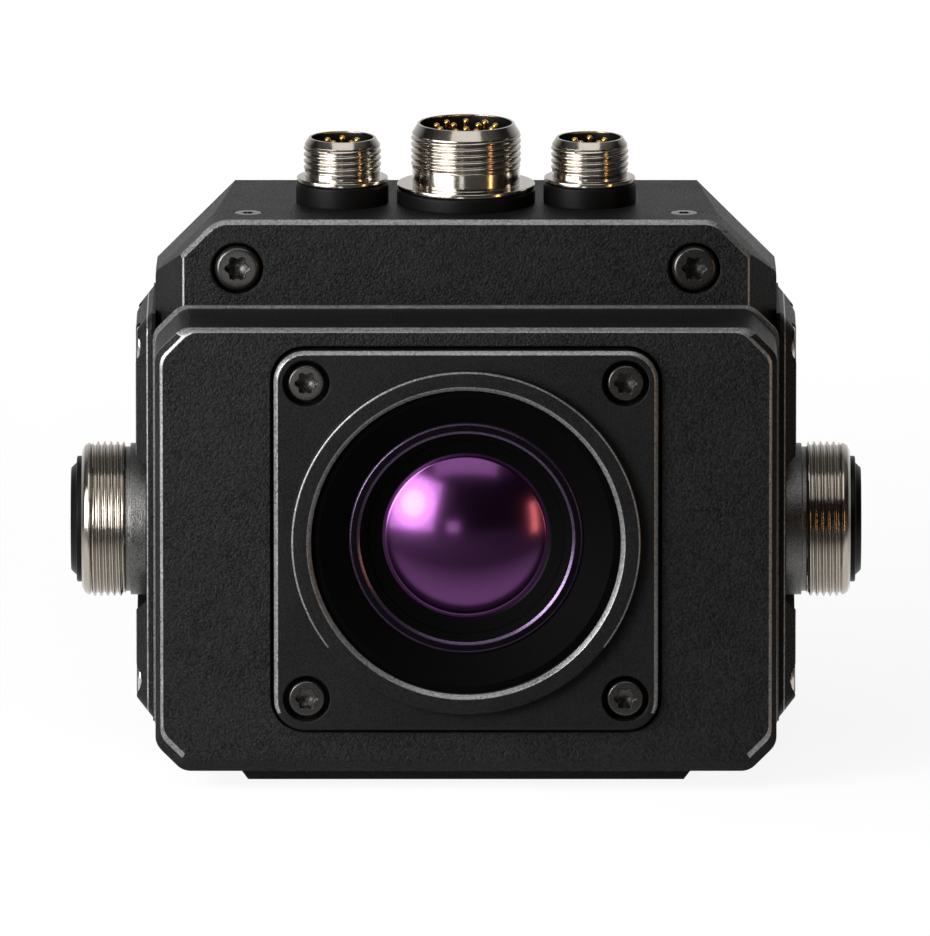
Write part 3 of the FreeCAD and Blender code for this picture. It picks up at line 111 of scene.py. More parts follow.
# Widths of the front block's sloping edge at its sides, below and above
BLOCK_EDGES = (1.18, 1.9, 0.63)
FLANGE_PLATE = 1.5
FLANGE_GAP = 0.5
FLANGE_ROUND = 4.75
FLANGE_SEAT = 3.2
BLOCK_WALL = 6.5
RING_RADIUS = 26.85
BARREL_RADIUS = 23.7
BARREL_BORE = 25.6
BEZEL_RADIUS = 18.1
DOME_CLEAR = 12.6
DOME_RADIUS = 22
LENS_SEAT = -3.2
FLANGE_SCREWS = [(x, z) for x in (-24.5, 24.5) for z in (-24.7, 24.7)]
FLANGE_WELL = 3.6
FLANGE_SINK = 3.15
UPPER_SCREW_X = 35.2
UPPER_WELL = 4.0
UPPER_SINK = 4.15
REAR_SCREWS = ((-39, 11), (39, 11), (-39, 71), (39, 71))
SIDE_SCREWS = [(y, z) for y in (-8.3, 8.3) for z in (13.0, 65.4)]
SIDE_SINK = 1.7
FOOT_SCREWS = [(x, y) for x in (-14, 14) for y in (1, -11)]

# Screws: (head, shank) radii, the holes for them and the wells in which their heads lie
M_THREE = (2.75, 1.5)
M_FOUR = (3.5, 2.0)
THREE_HOLE = 1.65
FOUR_HOLE = 2.15
LOW_HEAD = 1.5
LOW_WELL = 3.25
HEAD_CLEAR = 0.15

# Side receptacles, threads, pins and plugs
SIDE_FLOOR = 49.4
SIDE_POCKET = 16.2
SIDE_OPENING = 9.7
COVER_OPENING = 9.65
SIDE_END = -11
SIDE_CORE = 8.3
SIDE_BORE = 9.8
SIDE_NECK = 11.2
SIDE_THREAD = 12.0
SIDE_TIP = 11.5
SIDE_FLANGE = 11.75
CONTACT_CIRCLE = 5.2
CONTACT_DEPTH = 4
THREAD_PITCH = 1.0
THREAD_CREST = 0.16
THREAD_FLANK = 0.34
THREAD_LEAD = 0.35
TOP_GROOVE = 0.34
SIDE_GROOVE = 0.55
TOP_END = -12
PIN_RADIUS = 0.5
PLUG_X = 33.6
PLUG_DEPTH = 2.5

# Radii and heights over the roof of its receptacles; pins are rings of (count, radius, first angle)
SMALL = {"seal": 7.15, "seal_z": 3.3, "flange": 7.05, "neck": 5.8, "thread": 6.0, "rim": 5.15,
         "mouth": 4.8, "neck_z": 4.0, "thread_z": 4.9, "shoulder_z": 9.0, "rim_z": 10.15,
         "floor_z": 4.75, "tail": 5.9, "core": 4.2, "pins": ((5, 2.4, 90),)}
CENTRE = {"seal": 10.7, "seal_z": 2.3, "flange": 10.65, "neck": 8.3, "thread": 8.5, "rim": 7.45,
          "mouth": 7.1, "neck_z": 3.0, "thread_z": 5.5, "shoulder_z": 10.8, "rim_z": 12.4,
          "floor_z": 6.0, "tail": 7.9, "core": 6.5, "pins": ((9, 4.6, 90), (3, 2.2, -90))}
TOP_RECEPTACLES = (("left", -TOP_X, SMALL), ("centre", 0, CENTRE), ("right", TOP_X, SMALL))

# Steps of a full turn, and the places of a piece's finishes in its list
FINE_TURN = 144
SIDE_TURN = 128
SCREW_TURN = 48
MAIN, OTHER, THIRD = range(3)


# Shapes

class Shape:
    """Points and faces of one piece, drawn in a local frame whose third axis is the way it faces."""

    def __init__(self, facing="up", origin=(0, 0, 0)):
        self.axes = [Vector(a) for a in AXES[facing]]
        self.origin = Vector(origin)
        self.local = []
        self.faces = []
        self.marks = []
        self.mark = MAIN

    def point(self, x, y, z):
        self.local.append((x, y, z))
        return len(self.local) - 1

    def ring(self, points, height):
        return [self.point(x, y, height) for x, y in points]

    def face(self, *corners):
        self.faces.append(corners)
        self.marks.append(self.mark)

    def bridge(self, a, b):
        """Faces between two rings of points, either of which may be a single point."""
        if len(a) == 1 and len(b) == 1:
            return
        count = max(len(a), len(b))
        for i in range(count):
            j = (i + 1) % count
            if len(a) == 1:
                self.face(a[0], b[j], b[i])
            elif len(b) == 1:
                self.face(a[i], a[j], b[0])
            else:
                self.face(a[i], a[j], b[j], b[i])

    def lathe(self, profile, centre=(0, 0), count=96, closed=False):
        """Turns (radius, height) points about a line along the local third axis."""
        rings = []
        for radius, height in profile:
            if radius < 1e-6:
                rings.append([self.point(centre[0], centre[1], height)])
            else:
                rings.append(self.ring(circle(radius, count, centre), height))
        pairs = list(zip(rings, rings[1:]))
        if closed:
            pairs.append((rings[-1], rings[0]))
        for a, b in pairs:
            self.bridge(a, b)
        return rings

    def loft(self, corners, profile, step=8):
        """Rings of a rounded outline at (inset, height) points."""
        rings = [self.ring(outline(corners, inset, step), height) for inset, height in profile]
        for a, b in zip(rings, rings[1:]):
            self.bridge(a, b)
        return rings

    def plate(self, outer, *holes):
        """Fills a flat area that has holes."""
        loops = [outer] + list(holes)
        used = [i for loop in loops for i in loop]
        spots = [Vector(self.local[i][:2]) for i in used]
        edges = []
        start = 0
        for loop in loops:
            count = len(loop)
            edges += [(start + i, start + (i + 1) % count) for i in range(count)]
            start += count
        points, _, faces, origins, _, _ = delaunay_2d_cdt(spots, edges, [], 1, 1e-6)
        outlines = [[self.local[i][:2] for i in loop] for loop in loops]
        for corners in faces:
            centre = sum((points[i] for i in corners), Vector((0, 0))) / len(corners)
            if inside(centre, outlines[0]) and not any(inside(centre, o) for o in outlines[1:]):
                self.face(*[used[origins[i][0]] for i in corners])

    def world(self, p):
        """A local point in the frame's metres."""
        a, b, c = self.axes
        return (self.origin + a * p[0] + b * p[1] + c * p[2]) * MM

    def mesh(self, name):
        mesh = bpy.data.meshes.new(name)
        mesh.from_pydata([self.world(p) for p in self.local], [], self.faces)
        return mesh


def circle(radius, count, centre=(0, 0)):
    return [(centre[0] + radius * math.cos(2 * math.pi * i / count),
             centre[1] + radius * math.sin(2 * math.pi * i / count)) for i in range(count)]


def inside(p, loop):
    """Whether a point lies within a closed outline."""
    hit = False
    j = len(loop) - 1
    for i in range(len(loop)):
        (xi, yi), (xj, yj) = loop[i], loop[j]
        if (yi > p[1]) != (yj > p[1]) and p[0] < (xj - xi) * (p[1] - yi) / (yj - yi) + xi:
            hit = not hit
        j = i
    return hit


def outline(corners, inset=0.0, step=8):
    """A counter-clockwise outline with rounded corners (x, y, radius), moved inwards by inset."""
    count = len(corners)
    result = []
    for i in range(count):
        p = Vector(corners[i][:2])
        before = (p - Vector(corners[i - 1][:2])).normalized()
        after = (Vector(corners[(i + 1) % count][:2]) - p).normalized()
        n1 = Vector((-before.y, before.x))
        n2 = Vector((-after.y, after.x))
        p = p + (n1 + n2) * inset / (1 + n1.dot(n2))
        radius = max(corners[i][2] - inset, 0.02)
        bend = before.angle(after)
        reach = radius * math.tan(bend / 2)
        centre = p - before * reach + n1 * radius
        start = math.atan2(-n1.y, -n1.x)
        for k in range(step + 1):
            a = start + bend * k / step
            result.append((centre.x + radius * math.cos(a), centre.y + radius * math.sin(a)))
    return result


def rounded_path(points, radius, step=3):
    """An open path in which every inner corner is rounded, by its own radius where it has one."""
    result = [points[0]]
    for i in range(1, len(points) - 1):
        p = Vector(points[i][:2])
        r = points[i][2] if len(points[i]) > 2 else radius
        before = p - Vector(points[i - 1][:2])
        after = Vector(points[i + 1][:2]) - p
        if r <= 0 or before.length < 1e-6 or after.length < 1e-6:
            result.append((p.x, p.y))
            continue
        bend = before.angle(after)
        reach = min(r * math.tan(bend / 2), 0.45 * before.length, 0.45 * after.length)
        a = p - before.normalized() * reach
        b = p + after.normalized() * reach
        for k in range(step + 1):
            t = k / step
            q = a * (1 - t) ** 2 + p * 2 * t * (1 - t) + b * t ** 2
            result.append((q.x, q.y))
    result.append(points[-1][:2])
    return result


def rounded_loop(points, radius, step=3):
    """The same for a closed path."""
    wrapped = [points[-1]] + list(points) + [points[0]]
    return rounded_path(wrapped, radius, step)[1:-1]


def box_outline(left, low, right, high, radius):
    return [(left, low, radius), (right, low, radius), (right, high, radius), (left, high, radius)]


def roof_corners(half, low, high, slope, base=0.02, side=0.02, roof=0.02):
    """The outline of a box with a slope on both sides of its roof."""
    return [(-half, low, base), (half, low, base), (half, high - slope, side), (half - slope, high, roof),
            (-half + slope, high, roof), (-half, high - slope, side)]


def make(name, shape, material, replaces, body="camera", sharp=32, subtract=(), bevel=0.0):
    """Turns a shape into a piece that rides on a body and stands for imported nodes."""
    materials = material if isinstance(material, list) else [material]
    mesh = shape.mesh(name)
    mesh.polygons.foreach_set("material_index", shape.marks)
    for m in materials:
        mesh.materials.append(m)
    work = bmesh.new()
    work.from_mesh(mesh)
    bmesh.ops.remove_doubles(work, verts=work.verts, dist=1e-8)
    bmesh.ops.dissolve_degenerate(work, edges=work.edges, dist=1e-8)
    bmesh.ops.recalc_face_normals(work, faces=work.faces)
    work.to_mesh(mesh)
    work.free()
    piece = bpy.data.objects.new(name, mesh)
    scene.collection.objects.link(piece)
    if bevel:
        soft = piece.modifiers.new("edges", "BEVEL")
        soft.width = bevel * MM
        soft.segments = BEVEL_STEPS
        soft.limit_method = "ANGLE"
        soft.angle_limit = math.radians(BEVEL_ANGLE)
        soft.harden_normals = False
    for tool in subtract:
        carve = piece.modifiers.new("cut", "BOOLEAN")
        carve.operation = "DIFFERENCE"
        carve.solver = "EXACT"
        carve.object = tool
    if bevel or subtract:
        bpy.context.view_layer.update()
        graph = bpy.context.evaluated_depsgraph_get()
        done = bpy.data.meshes.new_from_object(piece.evaluated_get(graph))
        piece.modifiers.clear()
        piece.data = done
    finish_mesh(piece, sharp)
    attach(piece, body)
    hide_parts(*replaces)


def finish_mesh(piece, sharp):
    """Smooth faces with creases at angles over sharp, in degrees."""
    mesh = piece.data
    mesh.polygons.foreach_set("use_smooth", [True] * len(mesh.polygons))
    mesh.set_sharp_from_angle(angle=math.radians(sharp))
    even = piece.modifiers.new("even", "WEIGHTED_NORMAL")
    even.keep_sharp = True
    even.weight = 100


cutters = []


def cutter(shape):
    """A solid that is only used to cut others."""
    mesh = shape.mesh("cutter")
    work = bmesh.new()
    work.from_mesh(mesh)
    bmesh.ops.recalc_face_normals(work, faces=work.faces)
    work.to_mesh(mesh)
    work.free()
    piece = bpy.data.objects.new("cutter", mesh)
    scene.collection.objects.link(piece)
    cutters.append(piece)
    return piece


# Materials

FINE_SHARE = 0.82
NOISE_SPAN = (0.3, 0.7)
COAT_ROUGHNESS = 0.06
LEAST_ROUGHNESS = 0.03
PATCH_SCALE = 120
PLAIN_SCALE = 3000


def surface(name, colour, rough, metal=0.0, spread=0.0, grain=0.0, bump=0.0, rough_spread=0.0, specular=0.5,
            step=0.00002, coat=0.0):
    """A material with slight changes of colour and gloss; its relief's grain and step are in metres."""
    material = bpy.data.materials.new(name)
    material.use_nodes = True
    nodes = material.node_tree.nodes
    links = material.node_tree.links
    shader = nodes["Principled BSDF"]
    shader.inputs["Metallic"].default_value = metal
    shader.inputs["Specular IOR Level"].default_value = specular
    shader.inputs["Coat Weight"].default_value = coat
    shader.inputs["Coat Roughness"].default_value = COAT_ROUGHNESS
    place = nodes.new("ShaderNodeTexCoord")
    broad = nodes.new("ShaderNodeTexNoise")
    broad.inputs["Scale"].default_value = PATCH_SCALE
    broad.inputs["Detail"].default_value = 3
    links.new(place.outputs["Object"], broad.inputs["Vector"])
    fine = nodes.new("ShaderNodeTexNoise")
    fine.inputs["Scale"].default_value = 1 / grain if grain else PLAIN_SCALE
    fine.inputs["Detail"].default_value = 2
    links.new(place.outputs["Object"], fine.inputs["Vector"])
    blend = nodes.new("ShaderNodeMath")
    blend.operation = "MULTIPLY_ADD"
    blend.inputs[1].default_value = FINE_SHARE
    links.new(fine.outputs["Fac"], blend.inputs[0])
    rest = nodes.new("ShaderNodeMath")
    rest.operation = "MULTIPLY"
    rest.inputs[1].default_value = 1 - FINE_SHARE
    links.new(broad.outputs["Fac"], rest.inputs[0])
    links.new(rest.outputs[0], blend.inputs[2])
    ramp = nodes.new("ShaderNodeValToRGB")
    for stop, position, level in zip(ramp.color_ramp.elements, NOISE_SPAN, (1 - spread, 1 + spread)):
        stop.position = position
        stop.color = [c * level for c in colour] + [1]
    links.new(blend.outputs[0], ramp.inputs[0])
    links.new(ramp.outputs[0], shader.inputs["Base Color"])
    gloss = nodes.new("ShaderNodeMapRange")
    gloss.inputs["From Min"].default_value, gloss.inputs["From Max"].default_value = NOISE_SPAN
    gloss.inputs["To Min"].default_value = max(rough - rough_spread, LEAST_ROUGHNESS)
    gloss.inputs["To Max"].default_value = min(rough + rough_spread, 1.0)
    links.new(blend.outputs[0], gloss.inputs["Value"])
    links.new(gloss.outputs[0], shader.inputs["Roughness"])
    if bump:
        relief = nodes.new("ShaderNodeBump")
        relief.inputs["Strength"].default_value = bump
        relief.inputs["Distance"].default_value = step
        links.new(fine.outputs["Fac"], relief.inputs["Height"])
        links.new(relief.outputs[0], shader.inputs["Normal"])
    return material


coated = surface("black_coat", (0.0096, 0.0096, 0.0098), 0.46, spread=0.75, grain=0.00034, bump=1.0,
                 rough_spread=0.12, step=0.00020, specular=0.10)
anodised = surface("black_anodised", (0.0090, 0.0090, 0.0092), 0.42, spread=0.5, grain=0.00028, bump=0.8,
                   rough_spread=0.10, step=0.00009, specular=0.09)
cone_black = surface("black_matt", (0.0012, 0.0012, 0.0012), 0.6, spread=0.2, grain=0.0002, bump=0.2,
                     specular=0.02)
bare = surface("bare_aluminium", (0.62, 0.62, 0.63), 0.32, metal=1.0, spread=0.08, rough_spread=0.06,
               grain=0.0003, bump=0.1)
oxide = surface("black_oxide", (0.075, 0.073, 0.070), 0.26, metal=0.9, spread=0.2, rough_spread=0.06,
                grain=0.0002, bump=0.15, specular=0.3)
steel = surface("plain_steel", (0.52, 0.51, 0.49), 0.26, metal=1.0, spread=0.1, rough_spread=0.05,
                grain=0.0003, bump=0.08)
nickel = surface("nickel", (0.42, 0.385, 0.34), 0.15, metal=1.0, spread=0.06, rough_spread=0.05,
                 grain=0.0004, bump=0.08)
# A darker, rougher copy of the nickel, for the base of the side receptacles' shells: tail, flange and neck
nickel_darker = surface("nickel_darker_base", (0.15, 0.148, 0.145), 0.36, metal=1.0, spread=0.5, rough_spread=0.1,
                grain=0.00022, bump=0.9, step=0.00008)
gold = surface("gold", (0.86, 0.52, 0.14), 0.22, metal=1.0, spread=0.06, rough_spread=0.05, grain=0.0004)
rubber = surface("rubber", (0.003, 0.003, 0.003), 0.45, spread=0.25, grain=0.0003, bump=0.25, specular=0.08)
plastic = surface("black_plastic", (0.003, 0.0029, 0.0028), 0.4, spread=0.25, rough_spread=0.08,
                  grain=0.0003, bump=0.2, specular=0.10)
board = surface("circuit_board", (0.012, 0.075, 0.030), 0.4, spread=0.25, rough_spread=0.08, grain=0.0006,
                bump=0.15)
ceramic = surface("ceramic", (0.10, 0.085, 0.075), 0.6, spread=0.1, grain=0.0003, bump=0.2)
window = surface("window", (0.08, 0.09, 0.10), 0.08, metal=0.6, spread=0.1)
lens_glass = surface("lens_coat", (0.130, 0.042, 0.150), 0.19, metal=1.0, spread=0.05, coat=0.10)
ring_coat = surface("ring_coat", (0.003, 0.002, 0.004), 0.30, metal=0.2, spread=0.3, grain=0.0002,
                    specular=0.06)
ring_edge = surface("ring_edge", (0.070, 0.045, 0.090), 0.25, metal=0.8, spread=0.4, grain=0.0003)
# Worn edges that also carry a painted highlight: a light grey metal put on the edges where the lamps make
# bright lines, and kept off the shaded bottom edges
worn_and_highlight = surface("worn_edge_and_painted_highlight", (0.20, 0.20, 0.20), 0.34, metal=0.6, spread=0.5, rough_spread=0.08,
               grain=0.00035, bump=0.4, step=0.00005)
# Painted shade: a dark, dull copy in place of the nickel inside the receptacle shells' mouths
mouth_shade = surface("mouth_painted_shade", (0.006, 0.0055, 0.005), 0.35, spread=0.3, rough_spread=0.05, grain=0.0004,
                 specular=0.3)

FINISH = {
    "black_coated_aluminium": coated,
    "black_anodised_aluminium": anodised,
    "bare_aluminium": bare,
    "black_oxide_steel": oxide,
    "plain_steel": steel,
    "nickel_plated_brass": nickel,
    "gold_plated_brass": gold,
    "black_rubber": rubber,
    "black_plastic": plastic,
    "coated_lens": lens_glass,
    "clear_window": window,
    "circuit_board": board,
    "ceramic_package": ceramic,
}
for part in frame["record"]["subparts"]:
    node = frame["nodes"].get(part["node"])
    if node:
        for slot in node.material_slots:
            slot.material = FINISH[part["material_slot"]]
# The gasket at the seam gets the same material, a painted highlight line between the block and the housing
for slot in frame["nodes"]["front_cover_gasket"].material_slots:
    slot.material = worn_and_highlight


# Housing, front block and covers

def add_well(shape, x, y, face, radius, depth, shank, end, edge=0.25, sides=64):
    """A counterbore with a softened edge and the screw's hole behind it, for cutting."""
    seat = face - depth
    shape.lathe([(0, seat), (radius, seat), (radius, face - edge), (radius + edge, face),
                 (radius + edge, face + 1), (0, face + 1)], (x, y), sides)
    shape.lathe([(0, end), (shank, end), (shank, seat + 0.1), (0, seat + 0.1)], (x, y), 32)


def add_cylinder(shape, x, y, radius, low, high, sides=64):
    shape.lathe([(0, low), (radius, low), (radius, high), (0, high)], (x, y), sides)


def housing_planes(corners):
    """Planes, each a spot and an outward normal, that cut bevels and the narrow edge faces, which get the
    worn edge material with its painted highlight, off the housing's block.
    """
    planes = [((sign * (HALF - SIDE_BEVEL), STEP, 0), (sign * BEVEL_DEPTH, -SIDE_BEVEL, 0))
              for sign in (1, -1)]
    for sign in (1, -1):
        normal = Vector((sign * BEVEL_DEPTH, -SIDE_BEVEL, 0)).normalized() + Vector((0, -1, 0))
        spot = Vector((sign * (HALF - SIDE_BEVEL), STEP, 0)) - normal.normalized() * EDGE_LINE
        planes.append((tuple(spot), tuple(normal)))
        planes.append(((sign * HALF, SEAM_Y, TOP - ROOF_SLOPE), (sign, ROOF_TAPER / (REAR - SEAM_Y), 1)))
    edge = outline(corners, 0, 8)
    for (x0, z0), (x1, z1) in zip(edge, edge[1:] + edge[:1]):
        if min(z0, z1) > TOP - ROOF_SLOPE and math.hypot(x1 - x0, z1 - z0) > 0.05:
            normal = Vector((z1 - z0, 0, x0 - x1)).normalized()
            spot = Vector((x0, STEP, z0)) - normal * EDGE_BREAK
            planes.append(((-spot.x, STEP, spot.z), (-normal.x, -1, normal.z)))
    return planes


def make_housing():
    shape = Shape("rear")
    corners = roof_corners(HALF, FOOT_TOP, TOP, ROOF_SLOPE, BASE_ROUND, SIDE_ROUND, ROOF_ROUND)
    rings = shape.loft(corners, [(0, STEP), (0, REAR)], 8)
    shape.face(*rings[0])
    shape.face(*rings[1])
    work = bmesh.new()
    work.from_mesh(shape.mesh("main_housing_shape"))
    bmesh.ops.recalc_face_normals(work, faces=work.faces)
    for spot, normal in housing_planes(corners):
        cut = bmesh.ops.bisect_plane(work, geom=work.verts[:] + work.edges[:] + work.faces[:], dist=1e-7,
                                     plane_co=Vector(spot) * MM, plane_no=Vector(normal), clear_outer=True)
        rim = [e for e in cut["geom_cut"] if isinstance(e, bmesh.types.BMEdge)]
        bmesh.ops.contextual_create(work, geom=rim)
    bmesh.ops.recalc_face_normals(work, faces=work.faces)
    plain = Shape()
    work.verts.index_update()
    plain.local = [tuple(v.co / MM) for v in work.verts]
    for f in work.faces:
        # Faces that turn to the front by the EDGE_FACING amount get the worn edge material, a painted
        # highlight
        plain.mark = OTHER if EDGE_FACING[0] < -f.normal.y < EDGE_FACING[1] else MAIN
        plain.face(*[v.index for v in f.verts])
    work.free()
    hollow = Shape("rear")
    inside_slope = ROOF_SLOPE - SLOPE_INSET * WALL
    rings = hollow.loft(roof_corners(HALF - WALL, FOOT_TOP + WALL, TOP - WALL, inside_slope),
                        [(0, STEP + FRONT_WALL), (0, REAR + 1)], 1)
    hollow.face(*rings[0])
    hollow.face(*rings[1])
    wells = Shape("front", (0, 0, UPPER_Z))
    for x in (-UPPER_SCREW_X, UPPER_SCREW_X):
        add_well(wells, x, 0, -STEP, UPPER_WELL, UPPER_SINK, FOUR_HOLE, -STEP - 9)
    opening = Shape("front", (0, 0, LENS_Z))
    add_cylinder(opening, 0, 0, LENS_OPENING, -STEP - 8, -STEP + 1)
    roof = Shape("up", (0, 0, TOP))
    for x in (-PLUG_X, PLUG_X):
        add_cylinder(roof, x, PLUG_Y, 2.25, -PLUG_DEPTH, 1)
    for _, x, kind in TOP_RECEPTACLES:
        add_cylinder(roof, x, TOP_Y, kind["tail"] + 0.1, -6, 1)
    sides = Shape("right", (0, SIDE_Y, SIDE_Z))
    add_cylinder(sides, 0, 0, SIDE_OPENING, -50, 50)
    seam = Shape("rear")
    outer = [seam.ring(outline(corners, -0.5, 8), SEAM_Y + d) for d in (-SEAM_HALF, SEAM_HALF)]
    inner = [seam.ring(outline(corners, 0.1, 8), SEAM_Y + d) for d in (SEAM_HALF, -SEAM_HALF)]
    for a, b in ((outer[0], outer[1]), (outer[1], inner[0]), (inner[0], inner[1]), (inner[1], outer[0])):
        seam.bridge(a, b)
    make("main_housing_shell", plain, [coated, worn_and_highlight], ["main_housing"],
         bevel=HOUSING_BEVEL, subtract=[cutter(s) for s in (hollow, wells, opening, roof, sides, seam)])


def block_corners(half, low, high):
    """The front block's outline with its cut and softened corners."""
    leg = BLOCK_CORNER
    return [(half - leg, low, 3), (half, low + leg, 3), (half, high - leg, 3), (half - leg, high, 3),
            (-half + leg, high, 3), (-half, high - leg, 3), (-half, low + leg, 3), (-half + leg, low, 3)]


def paint_wear_and_highlight(shape, start, test):
    """Gives the faces from a number the worn edge material, which also paints a highlight, where their
    middle passes the test.
    """
    for i in range(start, len(shape.faces)):
        corners = [shape.local[k] for k in shape.faces[i]]
        x = sum(c[0] for c in corners) / len(corners)
        y = sum(c[1] for c in corners) / len(corners)
        shape.marks[i] = OTHER if test(x, y) else MAIN


def make_front_block():
    shape = Shape("front")
    front = -BLOCK_FRONT
    rear = -BLOCK_REAR
    seat = front - FLANGE_SEAT
    across, below, above = BLOCK_EDGES
    depth = 0.9
    body = block_corners(BLOCK_HALF, FOOT_TOP, BLOCK_TOP)
    rings = shape.loft(body, [(2.5, rear), (0.15, rear), (0, rear + 0.15), (0, front - depth)], 6)
    last = rings[-1]
    # Each level: its share of the edge widths, its share of the depth, and whether its painted highlight
    # runs all round but the shaded bottom; the top edge always gets it
    slope = ((0.04, 0.1, True), (0.68, 0.74, False), (0.9, 0.95, True), (1.06, 1.0, True))
    for part, rise, lit_or_rubbed in slope:
        face = block_corners(BLOCK_HALF - across * part, FOOT_TOP + below * part, BLOCK_TOP - above * part)
        ring = shape.ring(outline(face, 0, 6), front - depth + depth * rise)
        start = len(shape.faces)
        shape.bridge(last, ring)
        paint_wear_and_highlight(shape, start, lambda x, z: z > BLOCK_TOP - 2 or (lit_or_rubbed and z > FOOT_TOP + 3))
        last = ring
    low, high = FLANGE_LOW - FLANGE_GAP, FLANGE_HIGH + FLANGE_GAP
    half = FLANGE_HALF + FLANGE_GAP
    lip = shape.loft(box_outline(-half, low, half, high, FLANGE_ROUND + FLANGE_GAP),
                     [(-0.15, front), (0, front - 0.15), (0, seat)], 8)
    shape.plate(last, lip[0])
    bore = shape.lathe([(BARREL_BORE, seat), (BARREL_BORE, front - BLOCK_WALL)], (0, LENS_Z))
    shape.plate(lip[-1], bore[0])
    cavity = box_outline(-BLOCK_HALF + WALL, FOOT_TOP + WALL, BLOCK_HALF - WALL, BLOCK_TOP - WALL, 1.5)
    inner = shape.loft(cavity, [(0, front - BLOCK_WALL), (0, rear)], 3)
    shape.plate(inner[0], bore[1])
    shape.plate(rings[0], inner[1])
    make("front_block_shell", shape, [coated, worn_and_highlight], ["front_cover"])


def make_side_cover(side):
    shape = Shape(side)
    ends = (SIDE_NEAR, SIDE_FAR) if side == "right" else (-SIDE_FAR, -SIDE_NEAR)
    path = [(0, 0, SIDE_SEAT), (0, 0.9, SIDE_SEAT + 0.7), (0.1, 1.15, SIDE_SEAT + 0.9),
            (1.65, 3.2, SIDE_FACE - 0.1), (1.95, 3.5, SIDE_FACE), (3.0, 4.6, SIDE_FACE)]
    edges = (2, 4)
    rings = []
    for number, (a, b, height) in enumerate(path):
        corners = box_outline(ends[0] + a, SIDE_LOW + b, ends[1] - a, SIDE_HIGH - b, max(2.7 - a, 0.6))
        rings.append(shape.ring(outline(corners, 0, 6), height))
        if number:
            shape.mark = OTHER if number in edges else MAIN
            shape.bridge(rings[-2], rings[-1])
    shape.mark = MAIN
    shape.face(*rings[0])
    shape.face(*rings[-1])
    pocket = Shape(side, (0, SIDE_Y, SIDE_Z))
    add_cylinder(pocket, 0, 0, SIDE_POCKET, SIDE_FLOOR, 55, SIDE_TURN)
    hole = Shape(side, (0, SIDE_Y, SIDE_Z))
    add_cylinder(hole, 0, 0, COVER_OPENING, 40, 55)
    wells = Shape(side, (0, SIDE_Y, 0))
    for y, z in SIDE_SCREWS:
        add_well(wells, y, z, SIDE_FACE, LOW_WELL, SIDE_SINK, THREE_HOLE, 45, 0.15)
    make("side_cover_%s_shell" % side, shape, [coated, worn_and_highlight], ["side_cover_" + side],
         subtract=[cutter(s) for s in (pocket, hole, wells)])


def make_rear_cover():
    shape = Shape("rear")
    slope = ROOF_SLOPE - SLOPE_INSET * 3
    corners = roof_corners(REAR_HALF, REAR_LOW, REAR_HIGH, slope, 0.6, 0.6, 0.6)
    side = rounded_path([(0, COVER_SEAT), (0, BACK - EDGE_BREAK), (EDGE_BREAK, BACK), (1.2, BACK)], 0.2, 4)
    rings = shape.loft(corners, side, 4)
    seat = BACK - LOW_HEAD - HEAD_CLEAR
    well = [(3.4, BACK), (LOW_WELL, BACK - 0.15), (LOW_WELL, seat), (THREE_HOLE, seat),
            (THREE_HOLE, COVER_SEAT)]
    holes = []
    backs = []
    for place in REAR_SCREWS:
        done = shape.lathe(well, place, SCREW_TURN)
        holes.append(done[0])
        backs.append(done[-1])
    shape.plate(rings[-1], *holes)
    shape.plate(rings[0], *backs)
    make("rear_cover_shell", shape, coated, ["rear_cover"])


# Lens

def make_flange():
    shape = Shape("front", (0, 0, LENS_Z))
    plate = -BLOCK_FRONT + FLANGE_PLATE
    brim = plate - 0.55
    low = -FLANGE_BACK
    high = FLANGE_HIGH - LENS_Z
    corners = box_outline(-FLANGE_HALF, -high, FLANGE_HALF, high, FLANGE_ROUND)
    rings = shape.loft(corners, [(1.0, low), (0, low), (0, brim)], 10)
    start = len(shape.faces)
    edge = shape.loft(corners, [(0, brim), (0.06, plate - 0.46), (0.46, plate - 0.06), (0.6, plate)], 10)
    # Painted highlight on the flange's edge, kept off its shaded bottom
    paint_wear_and_highlight(shape, start, lambda x, z: z > 3 - high)
    face = shape.loft(corners, [(0.6, plate), (0.85, plate)], 10)
    shape.bridge(rings[-1], edge[0])
    front = -RING_FRONT
    bore = BARREL_RADIUS + 0.05
    path = [(RING_RADIUS + 0.5, plate), (RING_RADIUS, plate), (RING_RADIUS, front - 0.3)]
    foot = shape.lathe(rounded_path(path, 0.15, 3), count=FINE_TURN)
    start = len(shape.faces)
    shape.lathe([(RING_RADIUS, front - 0.3), (RING_RADIUS - 0.08, front - 0.1), (RING_RADIUS - 0.3, front)],
                count=FINE_TURN)
    # Painted highlight on the ring's outer chamfer, kept off its shaded bottom
    paint_wear_and_highlight(shape, start, lambda x, z: z > -0.6 * RING_RADIUS)
    shape.lathe([(RING_RADIUS - 0.3, front), (bore + 0.75, front)], count=FINE_TURN)
    shape.mark = OTHER
    shape.lathe([(bore + 0.75, front), (bore + 0.6, front - 0.08), (bore + 0.06, front - 0.62)],
                count=FINE_TURN)
    shape.mark = MAIN
    wall = shape.lathe([(bore + 0.06, front - 0.62), (bore, front - 0.8), (bore, low)], count=FINE_TURN)
    seat = plate - FLANGE_SINK
    path = [(FLANGE_WELL + 0.25, plate), (FLANGE_WELL + 0.12, plate), (FLANGE_WELL, plate - 0.12),
            (FLANGE_WELL, seat), (THREE_HOLE, seat), (THREE_HOLE, low)]
    well = rounded_path(path, 0.05, 2)
    holes = []
    backs = []
    for place in FLANGE_SCREWS:
        done = shape.lathe(well, place, 56)
        holes.append(done[0])
        backs.append(done[-1])
    shape.plate(face[-1], foot[0], *holes)
    shape.plate(rings[0], wall[-1], *backs)
    make("lens_flange_piece", shape, [anodised, worn_and_highlight], ["lens_flange"])


